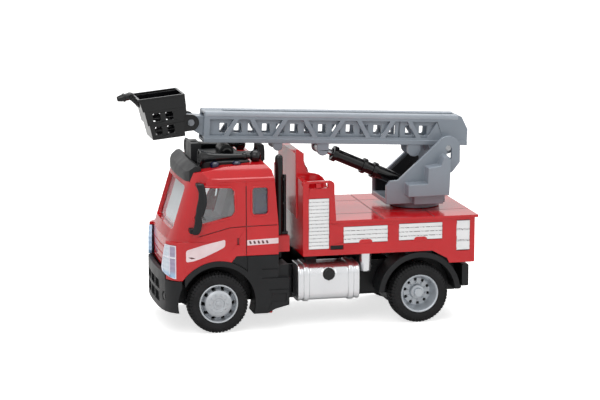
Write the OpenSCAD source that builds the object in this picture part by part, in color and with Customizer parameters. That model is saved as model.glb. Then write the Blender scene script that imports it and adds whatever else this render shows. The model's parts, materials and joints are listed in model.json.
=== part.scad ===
// Toy fire engine with a swivelling, lifting and sliding rescue ladder.
// Lengths are millimetres. X runs from nose to tail, Y to the right side, Z up from the ground.

/* [Wheels] */
// outer radius of a tyre
tyre_r = 20; // [18:0.25:21]
// width of a tyre
tyre_w = 14.4; // [12:0.2:16]
// radius of the rim where the tyre sits
rim_r = 13; // [11:0.25:14]
// distance between the outer faces of a wheel pair
track_w = 89.6; // [86:0.4:92]
// distance between the axles
wheelbase = 136.6; // [132:0.4:140]
// radius of both axles
axle_r = 1.6; // [1.2:0.1:2]
// depth of the tread grooves
tread_depth = 1; // [0.5:0.1:1.5]

/* [Fits] */
// radial clearance of a turning fit
run_gap = 0.05; // [0.02:0.01:0.1]
// clearance round a seated piece
seat_gap = 0.1; // [0.05:0.05:0.2]
// clearance beside a sliding or turning face
slide_gap = 0.3; // [0.2:0.05:0.5]
// radial clearance of a piece pushed on to its axle
push_gap = 0.02; // [0.01:0.01:0.04]

/* [Chassis] */
// width of the chassis tray
chassis_w = 48; // [44:1:52]
// height of the chassis tray
chassis_h = 23; // [20:0.5:26]
// wall of the chassis tray
chassis_wall = 2.5; // [2:0.25:3.5]
// chassis underside below the axle line
chassis_drop = 3; // [2.5:0.25:4]
// chassis length ahead of the front axle
chassis_nose = 31; // [29.5:0.25:32]
// chassis length behind the rear axle
chassis_tail = 30.4; // [29:0.2:32]
// gap between tyre and wheel arch
arch_gap = 4.8; // [4:0.2:6]
// thickness of the arch trim
arch_t = 3.6; // [2.5:0.1:4]
// outer half width of steps and fenders
trim_y = 44.4; // [43:0.2:45]
// underside of the motor housing below the axle line
motor_drop = 11; // [10:0.25:13]

/* [Cab] */
// half width of the cab at its doors
cab_y = 44.2; // [42:0.2:45]
// wall of the cab shell
cab_wall = 2; // [1.6:0.1:2.4]
// rear wall of the cab behind the front axle
cab_back = 40.3; // [38:0.2:43]
// cab floor above the chassis tray
cab_rise = 11.3; // [10:0.1:13]
// lean of the windscreen from upright
screen_lean = 17.2; // [14:0.2:20]
// thickness of the window insert
glass_t = 1; // [0.8:0.1:1.4]
// depth of the windscreen behind the face of its frame
screen_set = 4.6; // [3:0.1:5]
// height of the ledge over the headlamps above the chassis top
belt_z = 21.6; // [21.4:0.1:22.4]
// radius of the horn bell
bell_r = 5.8; // [4.5:0.1:6]
// radius of the horn tube
horn_r = 2.2; // [1.6:0.1:2.8]
// distance of a horn from the centre line
horn_y = 25; // [22:0.5:28]

/* [Body] */
// half width of the body walls
body_y = 45; // [43:0.2:46]
// wall of the body shell
body_wall = 2.5; // [2:0.1:3]
// body floor above the chassis tray
body_rise = 9; // [8:0.2:11]
// deck above the body floor
deck_h = 23.3; // [21:0.1:26]
// thickness of the deck
deck_t = 2.2; // [1.8:0.1:3]
// overhang of the deck lip
lip = 0.8; // [0.4:0.1:1.4]
// front wall of the body behind the front axle
body_x0 = 56.5; // [55:0.25:58]
// rear wall of the body behind the rear axle
body_tail = 37.7; // [36:0.1:38.4]
// height of the side wings above the deck
wing_h = 26.6; // [22:0.2:30]
// height of the middle of the front wall above the deck
tower_h = 42.7; // [38:0.2:43]
// half width of the middle of the front wall
tower_y = 27.6; // [22:0.2:30]
// depth of the shutter recesses
pocket = 1; // [0.6:0.1:1.4]

/* [Turntable] */
// turntable axis behind the rear axle
turn_dx = 8.3; // [5:0.1:12]
// radius of the turntable disc
disc_r = 17; // [15:0.25:20]
// radius of the turntable spigot
spigot_r = 8; // [6:0.25:10]
// half width across the ladder bracket
bracket_y = 19.5; // [17.5:0.25:22]
// thickness of a bracket plate
plate_t = 3; // [2.4:0.1:3.6]
// ladder pivot above the deck
pivot_h = 41.1; // [38:0.1:44]
// ladder pivot behind the turntable axis
pivot_dx = 18.1; // [16:0.1:20]
// radius of the ladder pivot pin
pivot_r = 2; // [1.6:0.1:2.4]
// radius of the bracket head
head_r = 8.2; // [7:0.1:9]

/* [Ladder] */
// lean of the ladder above level
ladder_lean = 2.7; // [2:0.1:5]
// half width of the main ladder
ladder_y = 9; // [8:0.2:10]
// height of the main ladder
ladder_h = 20.2; // [18:0.2:23]
// front end of the main ladder ahead of the front axle
ladder_nose = 3; // [0:0.5:5]
// main ladder length behind the pivot
ladder_tail = 16; // [13:0.5:18]
// wall of the main ladder
rail_t = 2.4; // [2:0.1:3]
// height of the upper and lower chords
chord_h = 4.6; // [3.6:0.1:6]
// wall of the sliding ladder
slider_t = 2; // [1.6:0.1:2.6]
// radius of the rungs
rung_r = 1.2; // [0.8:0.1:1.6]

/* [Ram] */
// lower ram pin above the deck
ram_seat = 13.4; // [13:0.1:15]
// outer radius of the ram cylinder
ram_r = 4; // [3.6:0.1:4.6]
// radius of the ram rod
rod_r = 1.9; // [1.5:0.1:2.2]
// free play round the rod in the cylinder
rod_play = 1.25; // [1.2:0.05:1.5]
// radius of the ram pins
ram_pin_r = 1.5; // [1.2:0.1:1.8]

/* [Basket] */
// half width of the basket rim
basket_y = 16; // [14:0.1:17]
// wall of the basket
basket_t = 1.5; // [1.2:0.1:2]
// lean of the basket below level
basket_lean = 6; // [2:0.5:10]
// radius of the basket pin
basket_pin_r = 2.3; // [1.8:0.1:2.6]
// length of the water cannon barrel
cannon_l = 9; // [7:0.2:11]
// radius of the water cannon muzzle
muzzle_r = 1.7; // [1.3:0.1:2]

/* [Sound button] */
// radius of the button
button_r = 3.8; // [3:0.1:4.5]
// travel of the button
button_travel = 1.5; // [1:0.1:2]

/* [Hidden] */
$fn = 48;
axle_z = tyre_r;
chassis_z0 = axle_z - chassis_drop;
chassis_z1 = chassis_z0 + chassis_h;
cab_z = chassis_z1;
floor_z = chassis_z1 + body_rise;
deck_z = floor_z + deck_h;
arch_r = tyre_r + arch_gap;
trim_r = arch_r + arch_t;
wheel_out = track_w / 2;
wheel_in = wheel_out - tyre_w;
chassis_x0 = -chassis_nose;
chassis_x1 = wheelbase + chassis_tail;
chassis_y = chassis_w / 2;
motor_z0 = axle_z - motor_drop;
body_x1 = wheelbase + body_tail;
turn_x = wheelbase + turn_dx;
pivot_x = turn_x + pivot_dx;
pivot_z = deck_z + pivot_h;
ladder_l = pivot_x + ladder_nose;
ladder_z0 = 0.5;
ladder_z1 = ladder_z0 + ladder_h;
tail_knee = ladder_z0 + 11;
basket_qx = -ladder_l - 8.8;
basket_qz = ladder_z0 + 13;
basket_x = pivot_x + basket_qx * cos(ladder_lean) + basket_qz * sin(ladder_lean);
basket_z = pivot_z - basket_qx * sin(ladder_lean) + basket_qz * cos(ladder_lean);
cannon_cx = -36.8;
cannon_cz = 21.6;
cannon_dip = 5;
cannon_x = basket_x + cannon_cx * cos(basket_lean) - cannon_cz * sin(basket_lean);
cannon_z = basket_z + cannon_cx * sin(basket_lean) + cannon_cz * cos(basket_lean);
nose_lean = basket_lean + cannon_dip;
x_min = cannon_x - cannon_l * cos(nose_lean) - muzzle_r * sin(nose_lean);
x_max = pivot_x + ladder_tail * cos(ladder_lean) + tail_knee * sin(ladder_lean);
mid_x = (x_min + x_max) / 2;
ram_ax = pivot_x - 21;
ram_az = deck_z + ram_seat;
ram_bx = body_x0 + 22;
ram_bz = pivot_z + 0.3;
ram_l = sqrt((ram_ax - ram_bx) * (ram_ax - ram_bx) + (ram_bz - ram_az) * (ram_bz - ram_az));
ram_tilt = atan2(ram_bz - ram_az, ram_ax - ram_bx);
tank_x0 = 53.4;
tank_x1 = wheelbase - 41;
tank_z0 = chassis_z0 + 1;
tank_z1 = chassis_z1 + 2.4;
tank_y = 43.6;
tank_wall = 1.6;
cover_x0 = tank_x0 + 4;
cover_x1 = tank_x1 - 8.2;
button_x = (tank_x0 + tank_x1) / 2 - 0.1;
button_z = tank_z1 - 6.2;
gear_m = 0.8;
gear_big = 20;
gear_small = 12;
gear_dx = 4;
gear_dz = sqrt(pow(gear_m * (gear_big + gear_small) / 2, 2) - gear_dx * gear_dx);
fly_x = wheelbase - gear_dx;
fly_z = axle_z + gear_dz;
mesh_a = atan2(gear_dz, -gear_dx);
motor_x0 = fly_x - 10;
motor_x1 = wheelbase + 10.4;
motor_y = 12.6;
mesh_turn = mesh_a + 180 + 180 / gear_small + mesh_a * gear_big / gear_small;

// sub-part to build

// shift from the front axle to the middle of the whole part
module place(z = 0) {
  translate([-mid_x, 0, z]) children();
}

// profile in X and Z, drawn out evenly to both sides
module across(w) {
  rotate([90, 0, 0]) linear_extrude(height = w, center = true) children();
}

// profile in X and Z, drawn out on the left side only
module left_slab(y0, y1) {
  translate([0, -y0, 0]) rotate([90, 0, 0]) linear_extrude(height = y1 - y0) children();
}

// profile in Y and Z, drawn out along X
module along(x0, x1) {
  translate([x0, 0, 0]) rotate([90, 0, 90]) linear_extrude(height = x1 - x0) children();
}

module y_cyl(r, l) {
  rotate([90, 0, 0]) cylinder(r = r, h = l, center = true);
}

module x_cyl(r, x0, x1) {
  translate([x0, 0, 0]) rotate([0, 90, 0]) cylinder(r = r, h = x1 - x0);
}

module block(x0, x1, y0, y1, z0, z1) {
  translate([x0, y0, z0]) cube([x1 - x0, y1 - y0, z1 - z0]);
}

module mid_block(x0, x1, y, z0, z1) {
  block(x0, x1, -y, y, z0, z1);
}

// flat rectangle with round corners
module round_rect(x0, z0, x1, z1, r) {
  union() {
    translate([x0 + r, z0]) square([x1 - x0 - 2 * r, z1 - z0]);
    translate([x0, z0 + r]) square([x1 - x0, z1 - z0 - 2 * r]);
    for (x = [x0 + r, x1 - r])
      for (z = [z0 + r, z1 - r])
        translate([x, z]) circle(r = r);
  }
}

// wheels and axles

module tyre_shape() {
  side = tyre_w / 2;
  difference() {
    rotate_extrude()
      polygon([[rim_r + push_gap, -side + 0.8], [rim_r + 0.8, -side], [tyre_r - 4.2, -side],
        [tyre_r - 1.6, -side + 0.9], [tyre_r, -side + 2.6], [tyre_r, -2.4],
        [tyre_r - tread_depth, -1.9], [tyre_r - tread_depth, -1.3], [tyre_r, -0.8],
        [tyre_r, 0.8], [tyre_r - tread_depth, 1.3], [tyre_r - tread_depth, 1.9], [tyre_r, 2.4],
        [tyre_r, side - 2.6], [tyre_r - 1.6, side - 0.9], [tyre_r - 4.2, side],
        [rim_r + 0.8, side], [rim_r + push_gap, side - 0.8]]);
    for (i = [0 : 23])
      rotate([0, 0, i * 15]) {
        translate([tyre_r - tread_depth, -0.6, 2.6]) cube([4, 1.2, side]);
        rotate([0, 0, 7.5]) translate([tyre_r - tread_depth, -0.6, -2.6 - side]) cube([4, 1.2, side]);
      }
  }
}

module tyre_at(x) {
  place(axle_z) translate([x, -wheel_out + tyre_w / 2, 0]) rotate([90, 0, 0]) tyre_shape();
}

// convex front disc with a ring of hand holes; the outer face is at the top
module front_rim_shape() {
  side = tyre_w / 2;
  difference() {
    rotate_extrude()
      polygon([[axle_r + push_gap, -4], [4.2, -4], [4.2, side - 5.4], [rim_r - 1.6, side - 4.4],
        [rim_r - 1.6, -side + 0.8], [rim_r, -side + 0.8], [rim_r, side - 0.2],
        [rim_r - 1.2, side], [rim_r - 1.9, side - 1.4], [rim_r - 3.2, side - 1.9],
        [8.4, side - 0.5], [6, side + 0.1], [5.2, side + 0.1], [4.8, side - 0.3],
        [3.2, side - 0.3], [2.6, side + 0.3], [axle_r + push_gap, side + 0.3]]);
    for (i = [0 : 9])
      rotate([0, 0, i * 36]) translate([rim_r - 2.9, 0, 0]) cylinder(r = 0.95, h = tyre_w);
  }
}

// deep rear dish with a hub cap; the outer face is at the top
module rear_rim_shape() {
  side = tyre_w / 2;
  difference() {
    rotate_extrude()
      polygon([[axle_r + push_gap, -5.6], [5, -5.6], [5, -2.6], [rim_r - 1.7, -2.6],
        [rim_r - 1.7, -side + 0.8], [rim_r, -side + 0.8], [rim_r, side - 0.2],
        [rim_r - 0.9, side], [rim_r - 2.4, side - 1.6], [rim_r - 3.6, -0.6], [5.4, -0.2],
        [5.2, 2.6], [4.2, 4.2], [2.4, 4.8], [axle_r + push_gap, 4.8]]);
    for (i = [0 : 9])
      rotate([0, 0, i * 36]) translate([7.6, 0, -4]) cylinder(r = 0.9, h = 5);
  }
}

module rim_at(x) {
  place(axle_z) translate([x, -wheel_out + tyre_w / 2, 0]) rotate([90, 0, 0]) children();
}

module front_tyre_left() {
  color("#1b1b1c") tyre_at(0);
}

module front_tyre_right() {
  color("#1b1b1c") mirror([0, 1, 0]) tyre_at(0);
}

module rear_tyre_left() {
  color("#1b1b1c") tyre_at(wheelbase);
}

module rear_tyre_right() {
  color("#1b1b1c") mirror([0, 1, 0]) tyre_at(wheelbase);
}

module front_rim_left() {
  color("#b9bdc2") rim_at(0) front_rim_shape();
}

module front_rim_right() {
  color("#b9bdc2") mirror([0, 1, 0]) rim_at(0) front_rim_shape();
}

module rear_rim_left() {
  color("#9a9ea3") rim_at(wheelbase) rear_rim_shape();
}

module rear_rim_right() {
  color("#9a9ea3") mirror([0, 1, 0]) rim_at(wheelbase) rear_rim_shape();
}

module front_axle() {
  color("#8d9196") place(axle_z) y_cyl(axle_r, track_w - 1);
}

module rear_axle() {
  color("#8d9196") place(axle_z) translate([wheelbase, 0, 0]) y_cyl(axle_r, track_w - 6);
}

// friction motor

module gear_disc(n, h, turn, thin) {
  rp = gear_m * n / 2;
  ra = rp + 0.85 * gear_m;
  rf = rp - 1.15 * gear_m;
  half = 90 / n - thin / rp * 57.3;
  rotate([0, 0, turn])
    linear_extrude(height = h, center = true)
      union() {
        circle(r = rf);
        for (i = [0 : n - 1])
          rotate(i * 360 / n)
            polygon([[rf - 0.4, -rp * sin(half) * 1.28], [rp, -rp * sin(half)],
              [ra, -rp * sin(half) * 0.5], [ra, rp * sin(half) * 0.5], [rp, rp * sin(half)],
              [rf - 0.4, rp * sin(half) * 1.28]]);
      }
}

module drive_gear() {
  color("#e6e2d6") place(axle_z)
    translate([wheelbase, 0, 0]) rotate([90, 0, 0])
      difference() {
        union() {
          gear_disc(gear_big, 4, 0, 0.12);
          cylinder(r = 4, h = 7, center = true);
        }
        cylinder(r = axle_r + push_gap, h = 20, center = true);
      }
}

module flywheel() {
  color("#b8862f") place(fly_z)
    translate([fly_x, 0, 0]) rotate([90, 0, 0])
      union() {
        gear_disc(gear_small, 4, mesh_turn, 0.12);
        translate([0, 0, -7.6]) cylinder(r = 8.4, h = 4.4);
        cylinder(r = 1.2, h = 22, center = true);
      }
}

module motor_housing() {
  z1 = chassis_z1 - 1;
  color("#2a2b2d") place()
    difference() {
      union() {
        mid_block(motor_x0, motor_x1, motor_y, motor_z0, z1);
        mid_block(motor_x0 - 2, motor_x1 + 2, motor_y + 2, chassis_z0 + chassis_wall,
          chassis_z0 + chassis_wall + 1.2);
      }
      mid_block(motor_x0 + 1.2, motor_x1 - 1.2, motor_y - 2.2, motor_z0 + 1.6, z1 + 5);
      translate([wheelbase, 0, axle_z]) y_cyl(axle_r + run_gap, 60);
      translate([fly_x, 0, fly_z]) y_cyl(1.2 + run_gap, 23);
    }
}

// chassis and what hangs on it

module chassis() {
  color("#232426") place()
    difference() {
      union() {
        difference() {
          mid_block(chassis_x0, chassis_x1, chassis_y, chassis_z0, chassis_z1);
          mid_block(chassis_x0 + chassis_wall, chassis_x1 - chassis_wall, chassis_y - chassis_wall,
            chassis_z0 + chassis_wall, chassis_z1 + 5);
        }
        for (x = [chassis_x0 + 2, cab_back - 18])
          mid_block(x, x + 12, chassis_y, chassis_z1 - 6, cab_z + cab_rise);
        for (x = [body_x0 + 6, tank_x1 + 2.9, body_x1 - 20])
          mid_block(x, x + 8, chassis_y, chassis_z1 - 6, floor_z);
        for (x = [chassis_x0 + 14, tank_x1 + 4])
          for (y = [-15, 15])
            translate([x, y, chassis_z0]) cylinder(r = 3.4, h = chassis_h - 4);
      }
      for (x = [0, wheelbase])
        translate([x, 0, axle_z]) {
          y_cyl(axle_r + run_gap, chassis_w + 20);
          y_cyl(axle_r + 1, chassis_w - 2 * chassis_wall);
        }
      mid_block(motor_x0 - seat_gap, motor_x1 + seat_gap, motor_y + seat_gap, chassis_z0 - 5,
        chassis_z1 - 7);
      mid_block(cover_x0 - seat_gap, cover_x1 + seat_gap, 15 + seat_gap,
        chassis_z0 - 1, chassis_z0 + 1.2 + seat_gap);
      mid_block(cover_x0 + 2, cover_x1 - 2, 13, chassis_z0 - 1, chassis_z0 + chassis_wall + 1);
      for (x = [chassis_x0 + 14, tank_x1 + 4])
        for (y = [-15, 15])
          translate([x, y, chassis_z0 - 1]) {
            cylinder(r = 2 + seat_gap, h = 2.2 + seat_gap);
            cylinder(r = 1 + push_gap, h = 12);
          }
    }
}

module battery_cover() {
  color("#2c2d30") place(chassis_z0)
    difference() {
      mid_block(cover_x0, cover_x1, 15, 0, 1.2);
      for (x = [cover_x0 + 4 : 4 : cover_x1 - 5.8])
        mid_block(x, x + 1.5, 9, -1, 0.5);
    }
}

module chassis_screws() {
  color("#9da1a6") place(chassis_z0)
    for (x = [chassis_x0 + 14, tank_x1 + 4])
      for (y = [-15, 15])
        translate([x, y, 0])
          difference() {
            union() {
              cylinder(r = 2, h = 1.2);
              cylinder(r = 1, h = 10);
            }
            translate([-1.3, -0.25, -1]) cube([2.6, 0.5, 1.6]);
            translate([-0.25, -1.3, -1]) cube([0.5, 2.6, 1.6]);
          }
}

// arch trim with the two step boxes behind it
module step_shape() {
  difference() {
    union() {
      left_slab(wheel_in - 3, trim_y)
        difference() {
          translate([0, axle_z]) circle(r = trim_r);
          translate([0, axle_z]) circle(r = arch_r);
          translate([-60, -40]) square([60 - trim_r * 0.78, 120]);
          translate([-60, -40]) square([78, 40 + axle_z + 12]);
          translate([-60, -40]) square([200, 40 + axle_z - 8]);
        }
      left_slab(wheel_in - 3, trim_y)
        difference() {
          polygon([[19.5, axle_z + 10], [19.5, cab_z + cab_rise - 0.4], [cab_back, cab_z + cab_rise - 0.4],
            [cab_back, axle_z + 15.5], [47.5, axle_z + 15.2], [47.5, axle_z - 3], [38, axle_z - 5.4],
            [33, axle_z - 8], [arch_r + 1.6, axle_z - 8]]);
          translate([0, axle_z]) circle(r = arch_r);
        }
      left_slab(chassis_y, trim_y)
        polygon([[arch_r + 5.5, axle_z - 4], [arch_r + 5.5, axle_z + 15], [47.5, axle_z + 15],
          [47.5, axle_z - 3]]);
      left_slab(chassis_y, trim_y - 3)
        polygon([[cab_back - 2, axle_z + 15], [cab_back - 2, axle_z + 23.6], [47.5, axle_z + 23.6],
          [47.5, axle_z + 15]]);
    }
    for (z = [axle_z + 15.6, axle_z + 21.4])
      left_slab(trim_y - 0.5, trim_y + 2) translate([trim_r + 0.6, z]) square([30, 0.6]);
    left_slab(trim_y - 0.5, trim_y + 2) translate([34, axle_z + 7.4]) square([20, 0.6]);
    left_slab(trim_y - 0.8, trim_y + 2) round_rect(35.6, axle_z - 0.6, 45.6, axle_z + 5, 1);
  }
}

module side_steps_left() {
  color("#232426") place() step_shape();
}

module side_steps_right() {
  color("#232426") mirror([0, 1, 0]) place() step_shape();
}

module fender_shape() {
  left_slab(wheel_in - 3, trim_y + 0.4)
    difference() {
      translate([wheelbase, axle_z]) circle(r = trim_r - 0.2);
      translate([wheelbase, axle_z]) circle(r = arch_r - 0.2);
      translate([0, axle_z - 40]) square([300, 42]);
    }
  left_slab(chassis_y, wheel_out - 3)
    difference() {
      translate([wheelbase - 9, axle_z + arch_r]) square([18, floor_z - axle_z - arch_r]);
      translate([wheelbase, axle_z]) circle(r = arch_r + 1);
    }
}

module rear_fender_left() {
  color("#232426") place() fender_shape();
}

module rear_fender_right() {
  color("#232426") mirror([0, 1, 0]) place() fender_shape();
}

module front_bumper() {
  z0 = axle_z - 5.6;
  z1 = cab_z - 4.4;
  color("#232426") place()
    difference() {
      union() {
        translate([0, 0, z0]) linear_extrude(height = z1 - z0) polygon(plan_points(-0.5));
        difference() {
          intersection() {
            translate([0, 0, z0]) linear_extrude(height = 30) polygon(plan_points(-0.5));
            along(-50, -20) polygon([[-32.8, z1 - 2], [-32.8, cab_z - 1.1], [-27.8, cab_z + 0.3],
              [27.8, cab_z + 0.3], [32.8, cab_z - 1.1], [32.8, z1 - 2]]);
          }
          translate([0, 0, z0 - 1]) linear_extrude(height = 40) polygon(plan_points(2.5));
        }
      }
      intersection() {
        translate([0, 0, z0 - 1]) linear_extrude(height = z1) polygon(plan_points(2.5));
        block(chassis_x0, 100, -60, 60, z0 - 1, z1 + 1);
      }
      block(-24, 100, -60, 60, z0 - 1, z1 + 1);
      translate([0, 0, axle_z]) y_cyl(arch_r + 1.6, 200);
      for (y = [-22.5, -7.5, 7.5])
        block(-50, -34.4, y + 1, y + 14, z0 + 12.6, z0 + 18.4);
      for (y = [-22.5, -7.5, 7.5])
        block(-50, -34.4, y + 1, y + 14, z0 + 4, z0 + 10.4);
      for (y = [-31, 31])
        translate([-33.6, y, z0 + 10]) rotate([0, -90, 0]) cylinder(r = 3, h = 20);
    }
}

module rear_bumper() {
  color("#232426") place()
    difference() {
      union() {
        mid_block(chassis_x1, chassis_x1 + 4.6, 41, axle_z + 3, axle_z + 17.6);
        mid_block(chassis_x1, chassis_x1 + 3, 30, axle_z - 1, axle_z + 4);
      }
      for (y = [-30, 30])
        block(chassis_x1 + 3.6, chassis_x1 + 9, y - 8, y + 8, axle_z + 6, axle_z + 14);
    }
}

module tank_outline(grow) {
  z0 = tank_z0 - grow;
  z1 = tank_z1 + grow;
  round_rect(-tank_y - grow, z0, -chassis_y - 2, z1, 4 + grow);
  translate([-chassis_y - 12, z0 + 4]) square([12, z1 - z0 - 8]);
}

module tank_shape() {
  difference() {
    union() {
      along(tank_x0, tank_x1) tank_outline(0);
      for (x = [tank_x0 + 4.3, tank_x1 - 7.5])
        along(x, x + 3.6) tank_outline(0.6);
    }
    block(tank_x0 + tank_wall, tank_x1 - tank_wall, -tank_y + tank_wall, -chassis_y + 1,
      tank_z0 + tank_wall, tank_z1 - tank_wall);
    block(tank_x0 - 5, tank_x1 + 5, -chassis_y, -chassis_y + 5, tank_z0 - 9, tank_z1 + 9);
  }
}

module fuel_tank_left() {
  color("#c3c7cb") place()
    difference() {
      tank_shape();
      translate([button_x, -tank_y, button_z]) y_cyl(button_r + run_gap * 2, 12);
      translate([button_x, -tank_y, button_z]) y_cyl(button_r + 1.4, 0.8);
    }
}

module fuel_tank_right() {
  color("#c3c7cb") mirror([0, 1, 0]) place() {
    tank_shape();
    translate([button_x, -tank_y - 0.6, button_z]) y_cyl(button_r, 1.2);
  }
}

module sound_button() {
  color("#1d1d1f") place()
    translate([button_x, -tank_y, button_z]) rotate([90, 0, 0])
      union() {
        translate([0, 0, -tank_wall - 4]) cylinder(r = button_r, h = tank_wall + 4.2);
        translate([0, 0, 0.2]) cylinder(r1 = button_r, r2 = button_r - 0.6, h = 0.6);
        translate([0, 0, -tank_wall - 1.6]) cylinder(r = button_r + 0.7, h = 1.5);
      }
}

module air_reservoirs() {
  color("#c3c7cb") place()
    for (s = [-1, 1])
      translate([tank_x1 + 5.5, s * 36, 0])
        union() {
          translate([0, 0, floor_z - 12.6]) cylinder(r = 4, h = 12.6);
          translate([0, 0, floor_z - 13.4]) cylinder(r1 = 3.2, r2 = 4, h = 0.8);
        }
}

// cab

// plan of the lower cab, t is the inset
function plan_points(t) = let (y = cab_y - t) concat(
  [for (p = plan_half) [p[0] + t, -(p[1] > 0 ? min(y, p[1] * y / cab_y) : 0)]],
  [[90, -y], [90, y]],
  [for (i = [len(plan_half) - 1 : -1 : 1]) [plan_half[i][0] + t, min(y, plan_half[i][1] * y / cab_y)]]);
plan_half = [[-35.8, 0], [-35.4, 16], [-34.5, 26], [-33, 33], [-30.6, 38], [-27.2, 41.6],
  [-22, 43.6], [-15, 44.2]];

// plan of the windscreen corners, square to the lean of the screen
function screen_points(t) = let (y = cab_y - t) concat(
  [for (p = screen_half) [p[0] + t, -min(y, p[1] * y / cab_y)]],
  [[120, -y], [120, y]],
  [for (i = [len(screen_half) - 1 : -1 : 1]) [screen_half[i][0] + t, min(y, screen_half[i][1] * y / cab_y)]]);
screen_half = [[0, 0], [0.5, 20], [1.2, 28], [2.4, 33.4], [4.4, 37.4], [7.4, 40.4], [12, 42.8],
  [20, 44.2]];

// side view of the cab above the chassis, t is the inset
function side_points(t) = [[cab_back - t, t > 0 ? -20 : cab_rise], [cab_back - t, 30],
  [cab_back - 2.4 - t, 61], [cab_back - 3.8 - t, 67 - t], [cab_back - 7.3 - t * 0.6, 70.9 - t],
  [5, 69.6 - t], [-13 + t * 0.6, 66.6 - t], [screen_x + (65 - 25.5) * tan(screen_lean) + t, 64.6 - t],
  [foot_x + t - t * tan(screen_lean), belt_z - t], [nose_x + 1 + t, belt_z - t],
  [nose_x + t, belt_z - 1.2 - t], [nose_x + t, t > 0 ? -20 : -4],
  [0, t > 0 ? -20 : -4], [12, t > 0 ? -20 : cab_rise]];
screen_x = -30.7;
nose_x = -35.9;
// windscreen carried down to the ledge
foot_x = screen_x - (25.5 - belt_z) * tan(screen_lean);

// cab seen from the front, t is the inset
function face_points(t) = let (y = cab_y - t) [[-y, -30], [-y, 33], [-y + 0.5, 60.4], [-y - 0.3, 61],
  [-y - 0.3, 62.2], [-y + 1.1, 63], [-y + 4, 68 - t * 0.5], [-y + 7.4, 70.2 - t], [0, 71.4 - t],
  [y - 7.4, 70.2 - t], [y - 4, 68 - t * 0.5], [y - 1.1, 63], [y + 0.3, 62.2], [y + 0.3, 61],
  [y - 0.5, 60.4], [y, 33], [y, -30]];

module cab_solid(t) {
  intersection() {
    across(140) polygon(side_points(t));
    union() {
      translate([0, 0, -30]) linear_extrude(height = 30 + belt_z - t) polygon(plan_points(t));
      intersection() {
        translate([screen_x, 0, 25.5]) rotate([0, screen_lean, 0])
          translate([0, 0, -60]) linear_extrude(height = 140) polygon(screen_points(t));
        translate([-60, -60, belt_z - t]) cube([160, 120, 80]);
      }
    }
    along(-60, 60) polygon(face_points(t));
  }
}

// everything behind the front panel, which bows with the windscreen
module behind_panel(d) {
  translate([foot_x + d, 0, -30]) linear_extrude(height = 60) polygon(screen_points(0));
}

// set back panel between the headlamps, with three grille lines
module nose_panel() {
  difference() {
    intersection() {
      behind_panel(0);
      block(-50, -20, -33.4, 33.4, slide_gap, belt_z);
    }
    behind_panel(cab_wall * 0.6);
    difference() {
      for (z = [3, 8.6, 14.2])
        block(-50, -20, -24.5, 24.5, z, z + 0.8);
      behind_panel(cab_wall * 0.3);
    }
  }
}

// tall lamp outline that narrows upwards, grow widens it
module lamp_zone(grow) {
  along(-50, -27.6 + grow)
    polygon([[-60, -2.6 - grow], [-41, -2.6 - grow], [-27.8 + grow, 0.8 - grow], [-26.5 + grow, 3.4],
      [-32.6 + grow, 19.4 + grow], [-60, 19.4 + grow]]);
}
// origin at the foot of the windscreen, leaning with it
module screen_frame() {
  translate([screen_x, 0, 25.5]) rotate([0, screen_lean, 0]) children();
}
module rear_window(grow) {
  round_rect(22.9 - grow, 38.4 - grow, 33.2 + grow, 56.2 + grow, 2 + grow);
}

module door_window(grow) {
  polygon([[-15.4 - grow, 37.6], [-8.3 - grow, 57.2 + grow], [8.6, 56.6 + grow],
    [10.8 + grow, 54.4], [11.2 + grow, 41], [9.2 + grow * 0.6, 38 - grow], [-9.6, 33.8 - grow],
    [-14 - grow * 0.6, 34.4 - grow]]);
}

module cab_shell() {
  color("#c8131b") place(cab_z) union() {
    nose_panel();
    difference() {
      union() {
        difference() {
          cab_solid(0);
          cab_solid(cab_wall);
        }
        intersection() {
          cab_solid(cab_wall / 2);
          block(-26, 60, -60, 60, cab_rise, cab_rise + cab_wall);
        }
        block(cab_back - 0.5, cab_back + 9, -37, -26, cab_rise, 22);
        intersection() {
          difference() {
            cab_solid(-0.5);
            cab_solid(cab_wall / 2);
          }
          across(200) union() {
            door_window(1.2);
            rear_window(1.2);
          }
        }
        intersection() {
          cab_solid(0);
          screen_frame() along(0.5, screen_set) round_rect(-33, 1, 33, 36, 4);
        }
      }
      difference() {
        block(-50, -20, -33, 33, -6, belt_z + 0.5);
        behind_panel(0);
      }
      across(200) door_window(0);
      across(200) rear_window(0);
      screen_frame() along(-20, 12) round_rect(-30.5, 3.4, 30.5, 33.4, 3);
      translate([0, 0, axle_z - cab_z]) y_cyl(trim_r + seat_gap, 200);
      for (s = [-1, 1])
        scale_y(s) {
          lamp_zone(seat_gap);
          left_slab(cab_y - 0.6, cab_y + 5) translate([18.5, 0]) square([0.6, 60.4]);
          left_slab(cab_y - 0.6, cab_y + 5)
            polygon([[-30, 20.6], [7.5, 30], [18.5, 30.5], [60, 30.9], [60, 31.5], [18.5, 31.1],
              [7.4, 30.6], [-30, 21.2]]);
          left_slab(cab_y - 0.8, cab_y + 5) round_rect(12.4, 18.6, 14.4, 23.4, 0.9);
        }
    }
  }
}

// copy for one side, s is -1 for the left and 1 for the right
module scale_y(s) {
  if (s < 0)
    children();
  else
    mirror([0, 1, 0]) children();
}

module cab_glazing() {
  color("#bcd3e0", 0.45) place(cab_z)
    intersection() {
      cab_solid(cab_wall + run_gap);
      union() {
        difference() {
          screen_frame() along(screen_set + run_gap, 120) square([140, 160], center = true);
          cab_solid(cab_wall + run_gap + glass_t);
        }
        screen_frame() along(screen_set + run_gap, screen_set + run_gap + glass_t)
          square([140, 160], center = true);
      }
      block(-60, 60, -60, 60, 26.5, 60.5);
    }
}

module dash_profile() {
  polygon([[-23, cab_rise + cab_wall], [-23, 26], [-21, 31], [-15, 31], [-13, 28],
    [-16, cab_rise + cab_wall]]);
}

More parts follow.
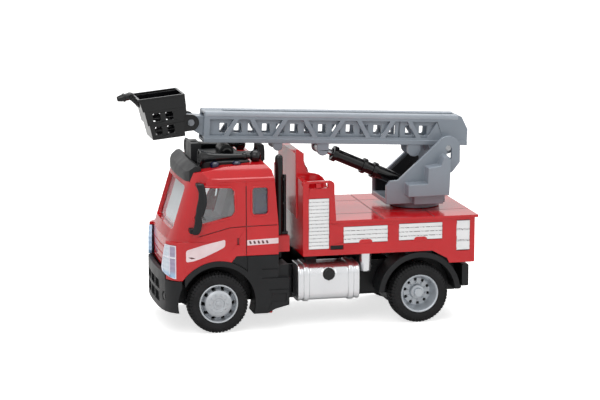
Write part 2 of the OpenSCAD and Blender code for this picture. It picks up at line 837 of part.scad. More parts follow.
module cab_interior() {
  z0 = cab_rise + cab_wall;
  color("#9aa0a6") place(cab_z)
    union() {
      mid_block(-24, 36, 37, z0, z0 + 1.5);
      across(64) dash_profile();
      for (y = [-21, 21])
        translate([0, y, 0]) {
          across(24) polygon([[-4, z0 + 1.5], [-5, 27], [-3, 29], [12, 28], [18, 50], [19.5, 51],
            [21, 50], [18, 26], [15, z0 + 1.5]]);
          across(12) polygon([[17.2, 49], [18.6, 56], [20, 57], [21.4, 56], [20.6, 49]]);
        }
      across(70) polygon([[24, z0 + 1.5], [24, 27], [30, 28], [32, 50], [35.2, 50], [36, z0 + 1.5]]);
    }
}

module steering_wheel() {
  color("#26272a") place(cab_z)
    difference() {
      translate([-9, -20, 36]) rotate([0, 40, 0])
        union() {
          rotate_extrude() translate([6, 0]) circle(r = 0.8);
          translate([-6, -0.7, -0.5]) cube([12, 1.4, 1]);
          translate([-0.7, -6, -0.5]) cube([1.4, 12, 1]);
          translate([0, 0, -1]) cylinder(r = 1.6, h = 2);
          translate([0, 0, -10]) cylinder(r = 0.9, h = 10);
        }
      across(64) dash_profile();
    }
}

// wrap round lamp that fills its opening in the cab corner
module lamp_shape() {
  intersection() {
    difference() {
      cab_solid(-0.4);
      cab_solid(cab_wall);
    }
    lamp_zone(0);
  }
}

module headlight_left() {
  color("#cfe4f4", 0.6) place(cab_z) lamp_shape();
}

module headlight_right() {
  color("#cfe4f4", 0.6) mirror([0, 1, 0]) place(cab_z) lamp_shape();
}

module sun_visor() {
  color("#303133") place(cab_z)
    difference() {
      intersection() {
        across(74) polygon([[-9.6, 60], [-9.6, 69.6], [-11.4, 70.6], [-13.6, 70.2], [-18.6, 66.4],
          [-20, 63], [-20.4, 60]]);
        translate([0, 0, 40]) linear_extrude(height = 60)
          polygon([[40, -36.6], [-12, -36.6], [-17, -34.6], [-19.2, -28], [-20.2, -14], [-20.5, 0],
            [-20.2, 14], [-19.2, 28], [-17, 34.6], [-12, 36.6], [40, 36.6]]);
      }
      cab_solid(0);
      mid_block(-12, 20, rack_y + seat_gap, 66, 90);
    }
}
rack_y = 10;

module roof_rack() {
  rest_z = pivot_z - cab_z + ladder_l * sin(ladder_lean);
  strut_z = pivot_z - cab_z + (pivot_x - cab_back) * tan(ladder_lean) - 1;
  color("#1f2022") place(cab_z)
    difference() {
      union() {
        mid_block(-11.5, -4.5, rack_y, 60, rest_z);
        mid_block(-11.5, 38, 7, 60, 72.4);
        across(15) union() {
          translate([13, 74.4]) circle(r = 4.8);
          translate([2, 66]) square([22, 6]);
        }
        for (y = [-6, 6])
          translate([0, y, 0]) across(4) polygon([[32, 66], [34.6, 74], [34.9, strut_z],
            [38.4, strut_z], [38.8, 74], [38.8, 60], [32, 60]]);
        mid_block(34.9, 38.4, 7, strut_z - 3.2, strut_z);
      }
      translate([-8, 0, rest_z - 5]) cylinder(r = 2.2, h = 20);
      across(40) translate([13, 74.4]) circle(r = 2.6);
      cab_solid(0);
      mid_block(cab_back - 2.3, 60, 30, 0, 68);
    }
}

// trumpet lies along X with its bell to the front
module horn_shape() {
  difference() {
    union() {
      translate([-9, -horn_y, 74]) rotate([0, 90, 0])
        rotate_extrude()
          polygon([[0, 2.4], [2.4, 1.6], [bell_r - 0.6, 0], [bell_r, 0], [bell_r, 1], [bell_r - 1.4, 3],
            [horn_r + 1.2, 7.4], [horn_r + 0.5, 12], [horn_r, 20], [horn_r, 30], [horn_r + 1, 30.4],
            [horn_r + 1, 32], [horn_r, 32.4], [horn_r - 0.4, 36], [0, 36]]);
      translate([28, -horn_y, 74]) sphere(r = 3.6);
      for (x = [6, 20])
        block(x, x + 2, -horn_y - 1.2, -horn_y + 1.2, 66, 74);
    }
    cab_solid(0);
  }
}

module horn_left() {
  color("#161617") place(cab_z) horn_shape();
}

module horn_right() {
  color("#161617") mirror([0, 1, 0]) place(cab_z) horn_shape();
}

module roof_lamps() {
  color("#1c3f8f") place(cab_z)
    difference() {
      for (s = [-1, 1])
        for (x = [0.5, 15])
          translate([x, s * (horn_y + 6.4), 66])
            union() {
              cylinder(r = 3, h = 5);
              translate([0, 0, 5]) cylinder(r1 = 3, r2 = 1.8, h = 1.2);
            }
      cab_solid(0);
    }
}

module mirror_shape() {
  y0 = cab_y;
  difference() {
    union() {
      left_slab(34, y0 + 4.6) polygon([[-16, 61], [-16, 58.9], [-12.6, 58.9], [-12.6, 61]]);
      left_slab(y0 + 1.2, y0 + 5)
        polygon([[-16, 61], [-16, 58.4], [-11.4, 55], [-11, 50], [-11.4, 44], [-12.8, 38], [-12.4, 34.4],
          [-9, 35], [-7, 38.4], [-6, 44], [-6.6, 50], [-8.4, 55.6], [-12.4, 61]]);
      left_slab(y0 + 1.2, y0 + 4.4)
        polygon([[-12.8, 36], [-9, 36.4], [-9.6, 29], [-11.4, 26.6], [-15, 26.8], [-17.4, 29.2],
          [-13.6, 30.4]]);
      left_slab(36, y0 + 2.4) polygon([[-18, 30], [-18, 27.4], [-14, 26.8], [-13.6, 30]]);
    }
    cab_solid(0);
  }
}

module mirror_left() {
  color("#1f2022") place(cab_z) mirror_shape();
}

module mirror_right() {
  color("#1f2022") mirror([0, 1, 0]) place(cab_z) mirror_shape();
}

// stack on its bracket, and the air filter box that stands on the chassis beside it
module exhaust_stack() {
  color("#1b1b1d") place(cab_z)
    difference() {
      block(cab_back + slide_gap, cab_back + 8.8, -12, chassis_y - 0.4, slide_gap, 37);
      for (z = [8 : 4 : 34])
        block(cab_back + 8.2, cab_back + 12, -9, chassis_y - 3.4, z, z + 1.2);
    }
  color("#1b1b1d") place(cab_z)
    translate([cab_back + 3.1, -31, 22])
      union() {
        cylinder(r = 2.6, h = 51);
        translate([0, 0, 51]) sphere(r = 2.6);
        translate([3.8, 0.2, 0]) cylinder(r = 1.1, h = 40);
        translate([-0.4, -2, 0]) cube([6, 4, 2]);
        translate([0, -1, 20]) cube([4, 2, 1.6]);
        translate([0, -1, 36]) cube([4, 2, 1.6]);
      }
}

// body

shutter_x = wheelbase - 14.8;
shutter_list = [[body_x0 + 27.5, 7.6, shutter_x - 7.6, 18.8], [shutter_x, 7.8, shutter_x + 30, 19.2],
  [body_x1 - 12.7, -0.8, body_x1 - 3.4, 20]];
louvre = [body_x0 + 3.9, 4.4, body_x0 + 17.7, 38.4];

module body_profile() {
  polygon([[body_x0, 0], [wheelbase + 8.4, 0], [wheelbase + 18.7, -5.6], [wheelbase + 20.2, -8.8],
    [body_x1, -8.8], [body_x1, deck_h - 1], [body_x0, deck_h - 1]]);
}

module wing_profile() {
  union() {
    round_rect(body_x0, 10, body_x0 + 21.3, deck_h + wing_h, 3);
    polygon([[body_x0, 8], [body_x0 + 22.4, 8], [body_x0 + 22.4, deck_h + 1], [body_x0 + 21.3, deck_h + 18],
      [body_x0, deck_h + 18]]);
  }
}

module shutter_cuts(grow, depth) {
  for (s = shutter_list)
    left_slab(body_y - depth, body_y + 4)
      round_rect(s[0] - grow, s[1] - grow, s[2] + grow, s[3] + grow, 1);
  left_slab(body_y - depth, body_y + 4)
    round_rect(louvre[0] - grow, louvre[1] - grow, louvre[2] + grow, louvre[3] + grow, 1);
}

module body_shell() {
  color("#c8131b") place(floor_z)
    difference() {
      union() {
        difference() {
          union() {
            across(2 * body_y) body_profile();
            mid_block(body_x0 + 18, body_x1 + 2.1, body_y + lip, deck_h - 1.8, deck_h);
          }
          mid_block(body_x0 + body_wall, body_x1 - body_wall, body_y - body_wall, -30, deck_h - deck_t);
        }
        for (s = [-1, 1])
          scale_y(s) left_slab(body_y - 3.4, body_y) wing_profile();
        mid_block(body_x0, body_x0 + 3, body_y, 0, deck_h + wing_h - 3);
        mid_block(body_x0, body_x0 + 3, body_y - 3, 0, deck_h + wing_h);
        mid_block(body_x0 - 0.8, body_x0 + 4.6, tower_y, deck_h, deck_h + tower_h);
        for (s = [-1, 1])
          scale_y(s) left_slab(tower_y - 2.5, tower_y)
            polygon([[body_x0 - 0.8, deck_h - 1], [body_x0 - 0.8, deck_h + tower_h + 1.6],
              [body_x0 + 0.2, deck_h + tower_h + 2.6], [body_x0 + 1.6, deck_h + tower_h + 2],
              [body_x0 + 3.2, deck_h + tower_h - 1], [body_x0 + 4, deck_h + tower_h - 4.6],
              [body_x0 + 5.4, deck_h + tower_h - 9.4], [body_x0 + 6.6, deck_h + wing_h + 3.6],
              [body_x0 + 9, deck_h + wing_h + 2.8], [body_x0 + 12.4, deck_h + wing_h + 2.2],
              [body_x0 + 15, deck_h + wing_h + 1.4], [body_x0 + 17.4, deck_h + wing_h - 0.4],
              [body_x0 + 19.2, deck_h + wing_h - 3], [body_x0 + 20.4, deck_h + wing_h - 7],
              [body_x0 + 21, deck_h - 1]]);
        difference() {
          mid_block(body_x0 + 1, body_x1 - 18, body_y - 1, 0, 2);
          mid_block(body_x0 + 26, body_x0 + 40, 11, -1, 3);
          mid_block(body_x0 + 60, body_x0 + 82, 11, -1, 3);
        }
        mid_block(body_x1 - 20, body_x1 - 12, body_y - 1, 0, 2);
      }
      for (s = [-1, 1])
        scale_y(s) {
          shutter_cuts(seat_gap, pocket);
          for (x = [body_x0 + 4, body_x0 + 12.1])
            left_slab(body_y - 4, body_y + 4)
              round_rect(x, deck_h + wing_h - 4.7, x + 4.9, deck_h + wing_h - 1.3, 0.6);
          left_slab(body_y - 1, body_y + 4) translate([body_x0 + 18.5, 3.6]) square([9, 3]);
        }
      for (x = [wheelbase - 25.4, wheelbase + 9.4])
        mid_block(x - 0.3, x + 0.3, 60, deck_h - 0.5, deck_h + 1);
      for (y = [-23, 23])
        block(body_x0 + 20, body_x1 + 9, y - 0.3, y + 0.3, deck_h - 0.5, deck_h + 1);
      translate([turn_x, 0, deck_h - 9]) cylinder(r = spigot_r + run_gap, h = 20);
      block(body_x1 - pocket, body_x1 + 1, -30 - seat_gap, 30 + seat_gap, -4 - seat_gap, 18 + seat_gap);
      for (s = [-1, 1])
        block(body_x1 - pocket, body_x1 + 1, s * 38 - 4 - seat_gap, s * 38 + 4 + seat_gap, -4 - seat_gap,
          12 + seat_gap);
    }
}

// one slatted white panel, three to many slats, with a hand notch where asked
module slat_panel(x0, z0, x1, z1, pitch, notch) {
  difference() {
    left_slab(body_y - pocket, body_y - 0.2) round_rect(x0, z0, x1, z1, 1);
    for (z = [z0 + pitch : pitch : z1 - 0.8])
      left_slab(body_y - 0.5, body_y + 1) translate([x0 + 0.8, z - 0.25]) square([x1 - x0 - 1.6, 0.5]);
    if (notch > 0)
      left_slab(body_y - 0.7, body_y + 1)
        translate([(x0 + x1) / 2, z0])
          polygon([[-notch, -1], [notch, -1], [notch, 1.6], [notch - 1.2, 2.6], [1.2 - notch, 2.6],
            [-notch, 1.6]]);
  }
}

module shutter_set() {
  for (i = [0, 1])
    slat_panel(shutter_list[i][0], shutter_list[i][1], shutter_list[i][2], shutter_list[i][3], 2.2, 5);
  slat_panel(shutter_list[2][0], shutter_list[2][1], shutter_list[2][2], shutter_list[2][3], 5.2, 0);
  slat_panel(louvre[0], louvre[1], louvre[2], louvre[3], 2.4, 0);
}

module shutters_left() {
  color("#dfe2e4") place(floor_z) shutter_set();
}

module shutters_right() {
  color("#dfe2e4") mirror([0, 1, 0]) place(floor_z) shutter_set();
}

module rear_shutter() {
  color("#dfe2e4") place(floor_z)
    difference() {
      block(body_x1 - pocket, body_x1 - 0.2, -30, 30, -4, 18);
      for (z = [-1 : 2.6 : 16])
        block(body_x1 - 0.5, body_x1 + 1, -29, 29, z, z + 0.5);
    }
}

module tail_lamps() {
  color("#a01016") place(floor_z)
    for (s = [-1, 1])
      block(body_x1 - pocket, body_x1 + 0.4, s * 38 - 4, s * 38 + 4, -4, 12);
}

// turntable and ram

turn_z = slide_gap;

module plate_profile() {
  union() {
    polygon([[turn_x - 25.1, 4.2], [turn_x - 25.1, 17], [turn_x - 22.6, 20.2], [turn_x - 16.9, 20.4],
      [pivot_x - 6.6, pivot_h + 4.8], [pivot_x, pivot_h], [pivot_x + head_r, pivot_h],
      [pivot_x + head_r, pivot_h - 9.8], [pivot_x + 2.9, pivot_h - 16.4], [turn_x + 16, pivot_h - 18],
      [turn_x + 16, 4.2]]);
    translate([pivot_x, pivot_h]) circle(r = head_r);
  }
}

module seat_profile() {
  translate([turn_x, 0])
    polygon([[-12.3, 10.4], [-12.3, 18.6], [1.3, 18.8], [1.5, 29.6], [10.5, 30.8], [12.4, 36.4],
      [14.3, 37.6], [16.1, 36.6], [17.3, 33.6], [16.3, 10.6]]);
}

module turntable() {
  inner = bracket_y - plate_t;
  color("#7f8791") place(deck_z)
    difference() {
      union() {
        translate([turn_x, 0, turn_z]) cylinder(r = disc_r, h = 4.2 - turn_z);
        translate([turn_x, 0, -deck_t - slide_gap]) cylinder(r = spigot_r, h = deck_t + 3);
        mid_block(turn_x - 25.1, turn_x + 16, bracket_y, 4.2, 7.8);
        for (s = [-1, 1])
          scale_y(s) left_slab(inner, bracket_y) plate_profile();
        intersection() {
          left_slab(bracket_y - 1, bracket_y + 9.5) seat_profile();
          translate([turn_x, -bracket_y, 0]) linear_extrude(height = 60)
            polygon([[-15.5, 1], [-15.5, 0], [-12.3, -6], [-12.3, -40], [55, -40], [55, 1]]);
        }
        left_slab(bracket_y - 1, bracket_y + 5) translate([turn_x - 6.9, 4.2]) square([20.4, 7]);
      }
      translate([pivot_x, 0, pivot_h]) y_cyl(pivot_r + push_gap, 60);
      for (s = [-1, 1])
        scale_y(s) left_slab(inner - 1, bracket_y + 2)
          polygon([[pivot_x - 0.2, pivot_h - 0.4], [pivot_x + pivot_r + 0.3, pivot_h],
            [pivot_x + pivot_r + 0.3, pivot_h - 7], [pivot_x + 1, pivot_h - 7.6],
            [pivot_x - 1.4, pivot_h - 4]]);
      translate([ram_ax, 0, ram_az - deck_z]) y_cyl(ram_pin_r + push_gap, 2 * bracket_y);
      translate([turn_x, 0, -9]) cylinder(r = 3, h = 11);
    }
}

module turntable_retainer() {
  color("#3a3c40") place(deck_z)
    translate([turn_x, 0, -deck_t - slide_gap])
      union() {
        translate([0, 0, -2.4]) cylinder(r = spigot_r + 4, h = 2.4);
        cylinder(r = 3 - push_gap, h = 3);
      }
}

module ram_cradle() {
  inner = bracket_y - plate_t - seat_gap;
  color("#17181a") place(deck_z)
    difference() {
      union() {
        for (s = [-1, 1])
          scale_y(s) left_slab(inner - 2.2, inner)
            polygon([[turn_x - 23.4, 7.8], [turn_x - 23.4, 17], [turn_x - 22, 19.2], [turn_x - 15.6, 19.4],
              [turn_x + 3, 35.6], [turn_x + 7, 30], [turn_x + 7, 7.8]]);
        mid_block(turn_x - 1, turn_x + 7, inner, 7.8, 9);
      }
      translate([ram_ax, 0, ram_az - deck_z]) y_cyl(ram_pin_r + push_gap, 60);
      translate([ram_ax, 0, ram_az - deck_z]) y_cyl(5, 2 * (inner - 2.2));
    }
}

module ram_pin() {
  color("#8d9196") place(ram_az) translate([ram_ax, 0, 0]) y_cyl(ram_pin_r, 2 * bracket_y - 1);
}

module ladder_pivot_pin() {
  color("#8d9196") place(pivot_z) translate([pivot_x, 0, 0]) y_cyl(pivot_r, 2 * bracket_y - 0.6);
}

// ram frame: origin on the lower pin, barrel along minus X
module ram_frame() {
  place(ram_az) translate([ram_ax, 0, 0]) rotate([0, ram_tilt, 0]) children();
}

module ram_cylinder() {
  mouth = ram_l - 9.2;
  half = bracket_y - plate_t - 2.2 - seat_gap - slide_gap;
  color("#121213") ram_frame()
    difference() {
      union() {
        x_cyl(ram_r, -mouth, 0);
        x_cyl(ram_r + 0.4, -mouth + 33, 0);
        x_cyl(ram_r + 1.3, -mouth, -mouth + 3.2);
        x_cyl(ram_r + 1.3, -mouth + 22.6, -mouth + 25.4);
        x_cyl(ram_r + 1.4, -mouth + 30.4, -mouth + 33.4);
        y_cyl(ram_r, 2 * half);
      }
      x_cyl(rod_r + rod_play, -mouth - 1, -mouth + 38);
      y_cyl(ram_pin_r + run_gap, 60);
    }
}

module ram_rod() {
  color("#8f949a") ram_frame()
    difference() {
      union() {
        x_cyl(rod_r, -ram_l, -ram_l + 46);
        translate([-ram_l, 0, 0]) y_cyl(3, 2 * (ladder_y - rail_t - slide_gap));
      }
      translate([-ram_l, 0, 0]) y_cyl(ram_pin_r + push_gap, 60);
    }
}

module rod_pin() {
  color("#8d9196") place(ram_bz) translate([ram_bx, 0, 0]) y_cyl(ram_pin_r, 2 * ladder_y - 1.6);
}

// ladder frame: origin on the ladder pivot, ladder along minus X

module ladder_frame() {
  place(pivot_z) translate([pivot_x, 0, 0]) rotate([0, ladder_lean, 0]) children();
}

// middle of each truss bar as a share of the way from the pivot to the front end
bar_share = [0.8886, 0.785, 0.6886, 0.5651, 0.4512, 0.3422, 0.2416, 0.1301, 0.044];
// place of each truss bar and the way it leans
bar_list = [for (i = [0 : len(bar_share) - 1]) [-bar_share[i] * ladder_l, i % 2 == 0 ? 1 : -1]];
bar_half = 1.7;
bar_run = 3.3;
boss_r = 4.4;

module rail_window(i) {
  z0 = ladder_z0 + chord_h;
  z1 = ladder_z1 - chord_h;
  a0 = i == 0 ? -ladder_l + 4 : bar_list[i - 1][0] + bar_half - bar_list[i - 1][1] * bar_run;
  a1 = i == 0 ? -ladder_l + 4 : bar_list[i - 1][0] + bar_half + bar_list[i - 1][1] * bar_run;
  b0 = bar_list[i][0] - bar_half - bar_list[i][1] * bar_run;
  b1 = bar_list[i][0] - bar_half + bar_list[i][1] * bar_run;
  polygon([[a0, z0], [b0, z0], [b1, z1], [a1, z1]]);
}

// upper ram pin in the ladder frame
ram_b_x = (ram_bx - pivot_x) * cos(ladder_lean) - (ram_bz - pivot_z) * sin(ladder_lean);
ram_b_z = (ram_bx - pivot_x) * sin(ladder_lean) + (ram_bz - pivot_z) * cos(ladder_lean);
// lugs under the ladder in its own frame: place, height of the eye, radius and thickness
lug_list = [[cab_back + 7.2 - pivot_x, -1.6, 3.1, 2.6], [ram_b_x, ram_b_z, 4, 2.4], [-21, -3, 4.6, 2.4]];

// tongue of a lug that sits in the rail, grow is the clearance of its slot
module lug_tongue(g, grow) {
  left_slab(ladder_y - g[3] + 0.5 - grow, ladder_y - 0.9 + grow)
    translate([g[0] - g[2] + 1 - grow, ladder_z0 - 1]) square([2 * g[2] - 2 + 2 * grow, 2.2 + grow]);
}

module lug_shape(g) {
  left_slab(ladder_y - g[3], ladder_y) difference() {
    union() {
      translate([g[0], g[1]]) circle(r = g[2]);
      translate([g[0] - g[2], g[1]]) square([2 * g[2], ladder_z0 - g[1]]);
    }
    translate([g[0] - 20, ladder_z0]) square([40, 20]);
  }
  lug_tongue(g, 0);
}

// three pairs of lugs and the pivot boss
module ladder_lugs() {
  color("#7f8791") ladder_frame()
    difference() {
      union() {
        for (s = [-1, 1])
          scale_y(s) {
            for (g = lug_list)
              lug_shape(g);
            left_slab(ladder_y - 3, ladder_y) intersection() {
              union() {
                circle(r = boss_r + 1);
                polygon([[-11, ladder_z0], [-9, -5.4], [0, -5.4], [5.4, 0], [8, ladder_z0]]);
              }
              translate([-20, ladder_z0 - 20]) square([40, 20]);
            }
          }
        y_cyl(boss_r, 2 * (bracket_y - plate_t - slide_gap));
      }
      y_cyl(pivot_r + run_gap, 80);
      mid_block(-30, ladder_tail - 2, ladder_y - rail_t - 0.4, ladder_z0 + 1.6, ladder_z1 - 1.4);
      translate([ram_b_x, 0, ram_b_z]) y_cyl(ram_pin_r + push_gap, 2 * ladder_y - 1.2);
    }
}

module ladder_main() {
  inside = ladder_y - rail_t;
  color("#7f8791") ladder_frame()
    difference() {
      union() {
        difference() {
          across(2 * ladder_y)
            polygon([[-ladder_l, ladder_z0], [ladder_tail, ladder_z0], [ladder_tail, tail_knee],
              [ladder_tail - 4.6, ladder_z1 - 0.8], [ladder_tail - 6.4, ladder_z1], [-ladder_l, ladder_z1]]);
          mid_block(-ladder_l - 1, ladder_tail - 2, inside, ladder_z0 + 1.6, ladder_z1 - 1.4);
          mid_block(-ladder_l + 14, ladder_tail - 8, 4.6, ladder_z1 - 2, ladder_z1 + 1);
          for (i = [0 : len(bar_list) - 1])
            across(100) rail_window(i);
          for (x = [-ladder_l + 8 : 18 : -24])
            mid_block(x, x + 12, 5, ladder_z0 - 1, ladder_z0 + 3);
        }
        for (s = [-1, 1])
          scale_y(s) left_slab(ladder_y - 0.5, ladder_y + 0.6)
            translate([-ladder_l, ladder_z0]) square([ladder_l + ladder_tail, 3]);
      }
      y_cyl(boss_r + push_gap, 80);
      for (s = [-1, 1])
        scale_y(s)
          for (g = lug_list)
            lug_tongue(g, seat_gap);
    }
}

module ladder_slider() {
  outer = ladder_y - rail_t - slide_gap;
  z0 = ladder_z0 + 1.6 + seat_gap;
  z1 = ladder_z1 - 1.4 - slide_gap;
  x0 = -ladder_l + 1;
  x1 = -32;
  step = 9.6;
  color("#7a828c") ladder_frame()
    difference() {
      union() {
        difference() {
          mid_block(x0, x1, outer, z0, z1 - 1.6);
          mid_block(x0 + 6, x1 + 1, outer - slider_t, z0 - 1, z1 + 1);
          for (x = [x0 + 10 : step : x1 - 7])
            mid_block(x, x + 5.6, 20, z0 + 4.6, z0 + 11);
        }
        for (x = [x0 + 8 : step : x1 - 9])
          translate([x, 0, z0 + 3]) y_cyl(rung_r, 2 * outer - 1);
        across(2 * outer) union() {
          translate([basket_qx, basket_qz]) circle(r = 4.4);
          polygon([[x0 + 1, z0 + 1], [x0 + 1, z1 - 1.6], [basket_qx, basket_qz + 4.3],
            [basket_qx - 2, basket_qz - 3.8], [basket_qx + 3, basket_qz - 6]]);
        }
      }
      translate([basket_qx, 0, basket_qz]) y_cyl(basket_pin_r + push_gap, 60);
    }
}

module basket_pin() {
  color("#8d9196") place(basket_z) translate([basket_x, 0, 0]) y_cyl(basket_pin_r, 2 * ladder_y + 0.8);
}

// basket frame: origin on the basket pin
module basket_frame() {
  place(basket_z) translate([basket_x, 0, 0]) rotate([0, -basket_lean, 0]) children();
}

// stepped wall of the tub from floor to rim, s is the side
function tub_side(t, s) = [for (p = [[2.8, -7.5 + t], [2.2, 2.4], [1.6, 2.4], [1.2, 12], [0.6, 12],
  [0.3, 19.4], [0, 19.4], [0, 20.8 + t * 4]]) [s * (basket_y - p[0] - t), p[1]]];

// stepped tub, t is the inset
module tub(t) {
  intersection() {
    across(80) polygon([[-5.4 - t, -7.5 + t], [-27 + t, -7.5 + t], [-28.4 + t, 2.4], [-29.4 + t, 2.4],
      [-30.8 + t, 12], [-31.8 + t, 12], [-33.4 + t, 19.4], [-34.2 + t, 19.4], [-34.4 + t, 20.8 + t * 4],
      [-3.1 - t, 20.8 + t * 4], [-3.1 - t, 19.4], [-3 - t, 12], [-3 - t, 7.6], [-5.1 - t, 5.4]]);
    along(-60, 10) polygon(concat(tub_side(t, -1), [for (i = [7 : -1 : 0]) tub_side(t, 1)[i]]));
  }
}

module basket() {
  lug_y0 = ladder_y - rail_t - slide_gap + 0.3;
  color("#1c1d1f") basket_frame()
    difference() {
      union() {
        difference() {
          tub(0);
          tub(basket_t);
          for (x = [-25.6, -17.1])
            across(80) round_rect(x, 4.8, x + 5, 10.2, 0.8);
          for (x = [-24.8, -16.6])
            across(80) round_rect(x, -4.4, x + 4.6, 1.2, 0.8);
        }
        for (s = [-1, 1])
          scale_y(s) left_slab(lug_y0, ladder_y + 0.2) union() {
            circle(r = 5.4);
            polygon([[-7.2, -5.4], [0, -5.4], [0, 5.4], [-7.2, 7]]);
          }
        for (s = [-1, 1])
          scale_y(s) left_slab(2.9, 4.5)
            union() {
              translate([cannon_cx, cannon_cz]) circle(r = 2.1);
              polygon([[-31.6, 13], [-33.6, 20.8], [cannon_cx + 0.8, cannon_cz + 1.9],
                [cannon_cx - 1.2, cannon_cz - 1.7]]);
            }
      }
      y_cyl(basket_pin_r + run_gap, 60);
      translate([cannon_cx, 0, cannon_cz]) y_cyl(1 + run_gap, 20);
    }
}

module water_cannon() {
  color("#1c1d1f") basket_frame()
    translate([cannon_cx, 0, cannon_cz]) rotate([0, -cannon_dip, 0])
      union() {
        rotate([0, -90, 0])
          rotate_extrude()
            polygon([[0, 0], [1.8, 0], [1.8, 2.6], [2.4, 3], [2.4, 4.4], [1.9, 5], [1.9, cannon_l - 2.2],
              [muzzle_r + 0.5, cannon_l - 1.8], [muzzle_r + 0.5, cannon_l - 1], [muzzle_r, cannon_l],
              [0.9, cannon_l], [0.9, cannon_l - 1.5], [0, cannon_l - 1.5]]);
        sphere(r = 1.8);
        y_cyl(1, 8.6);
      }
}

chassis();
front_bumper();
rear_bumper();
side_steps_left();
side_steps_right();
rear_fender_left();
rear_fender_right();
fuel_tank_left();
fuel_tank_right();
air_reservoirs();
sound_button();
battery_cover();
chassis_screws();
motor_housing();
flywheel();
drive_gear();
front_axle();
rear_axle();
front_tyre_left();
front_tyre_right();
rear_tyre_left();
rear_tyre_right();
front_rim_left();
front_rim_right();
rear_rim_left();
rear_rim_right();
cab_shell();
cab_glazing();
cab_interior();
steering_wheel();
headlight_left();
headlight_right();
sun_visor();
roof_rack();
horn_left();
horn_right();
roof_lamps();
mirror_left();
mirror_right();
exhaust_stack();
body_shell();
shutters_left();
shutters_right();
rear_shutter();
tail_lamps();
turntable();
turntable_retainer();
ram_cradle();
ram_pin();
ladder_pivot_pin();
ram_cylinder();
ram_rod();
rod_pin();
ladder_main();
ladder_lugs();
ladder_slider();
basket_pin();
basket();
water_cannon();
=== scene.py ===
# Toy fire engine: the looks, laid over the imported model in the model's own frame.
import json
import math

import bmesh
import bpy
import numpy as np
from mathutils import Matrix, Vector


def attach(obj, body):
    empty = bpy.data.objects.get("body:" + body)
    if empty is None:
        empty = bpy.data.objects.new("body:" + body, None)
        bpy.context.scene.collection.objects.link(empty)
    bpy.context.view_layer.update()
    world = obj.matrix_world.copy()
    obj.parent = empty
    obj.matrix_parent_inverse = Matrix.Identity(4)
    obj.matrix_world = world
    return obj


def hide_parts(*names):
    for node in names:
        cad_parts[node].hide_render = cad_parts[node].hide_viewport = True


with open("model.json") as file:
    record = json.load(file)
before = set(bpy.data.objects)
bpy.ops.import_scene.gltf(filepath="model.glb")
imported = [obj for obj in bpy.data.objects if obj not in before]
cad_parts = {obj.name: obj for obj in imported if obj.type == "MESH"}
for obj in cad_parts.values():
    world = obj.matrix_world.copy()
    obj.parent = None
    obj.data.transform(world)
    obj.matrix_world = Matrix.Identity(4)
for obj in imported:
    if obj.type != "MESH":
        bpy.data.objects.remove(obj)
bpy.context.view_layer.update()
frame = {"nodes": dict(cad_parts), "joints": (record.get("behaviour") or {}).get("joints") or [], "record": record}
jointPlace = {j["name"]: j.get("pos_m") for j in frame["joints"]}
bodyOf = {n: b for b, group in frame["record"]["behaviour"]["bodies"].items() for n in group}
slotOf = {p["node"]: p["material_slot"] for p in frame["record"]["subparts"]}
axleX = jointPlace["front_axle_spin"][0]
mm, metre = 0.001, 1000  # a millimetre in metres, a metre in millimetres
mergeReach = 3e-6  # points closer than this are one
hands = (("left", -1), ("right", 1))
print("frame loaded:", len(frame["nodes"]), "nodes")


# millimetres from the front axle, the centre line and the ground, turned into the model's frame
def place(x, y, z):
    x, y, z = np.broadcast_arrays(np.asarray(x, float), np.asarray(y, float), np.asarray(z, float))
    return np.stack([x * mm + axleX, y * mm, z * mm], axis=-1)


def linear(hexColour):
    c = np.array([int(hexColour[i:i + 2], 16) / 255 for i in (1, 3, 5)])
    c = np.where(c <= 0.04045, c / 12.92, ((c + 0.055) / 1.055) ** 2.4)
    return (*(float(v) for v in c), 1.0)


# a node's inputs: what comes from another node is linked, any other value is set
def feed(tree, node, feeds):
    for socket, value in feeds.items():
        if isinstance(value, bpy.types.NodeSocket):
            tree.links.new(value, node.inputs[socket])
        else:
            node.inputs[socket].default_value = value


def addNode(tree, kind, feeds=None, **settings):
    node = tree.nodes.new("ShaderNode" + kind)
    for key, value in settings.items():
        setattr(node, key, value)
    feed(tree, node, feeds or {})
    return node


def newFinish(name, feeds):
    material = bpy.data.materials.new(name)
    material.use_nodes = True
    shader = material.node_tree.nodes["Principled BSDF"]
    feed(material.node_tree, shader, feeds)
    return material, material.node_tree, shader


# Plastic and metal alike: one colour with slow clouds, a gloss that wanders a little where it was handled, and the
# fine grain of a mould, a tool or paint flakes, drawn coarser than real ones so that they show. tints are the colour
# and its deeper shade, sizes those of the three patterns in millimetres, depth the grain's.
plastic = {"own": ("IOR", 1.53), "spread": (0.32, 0.68), "details": (2.0, 4.0, 2.0)}
metal = {"own": ("Metallic", 1.0), "spread": (0.0, 1.0), "details": (3.0, 3.0, 1.0)}
noiseSpan = (0.3, 0.7)  # most of a noise lies between these


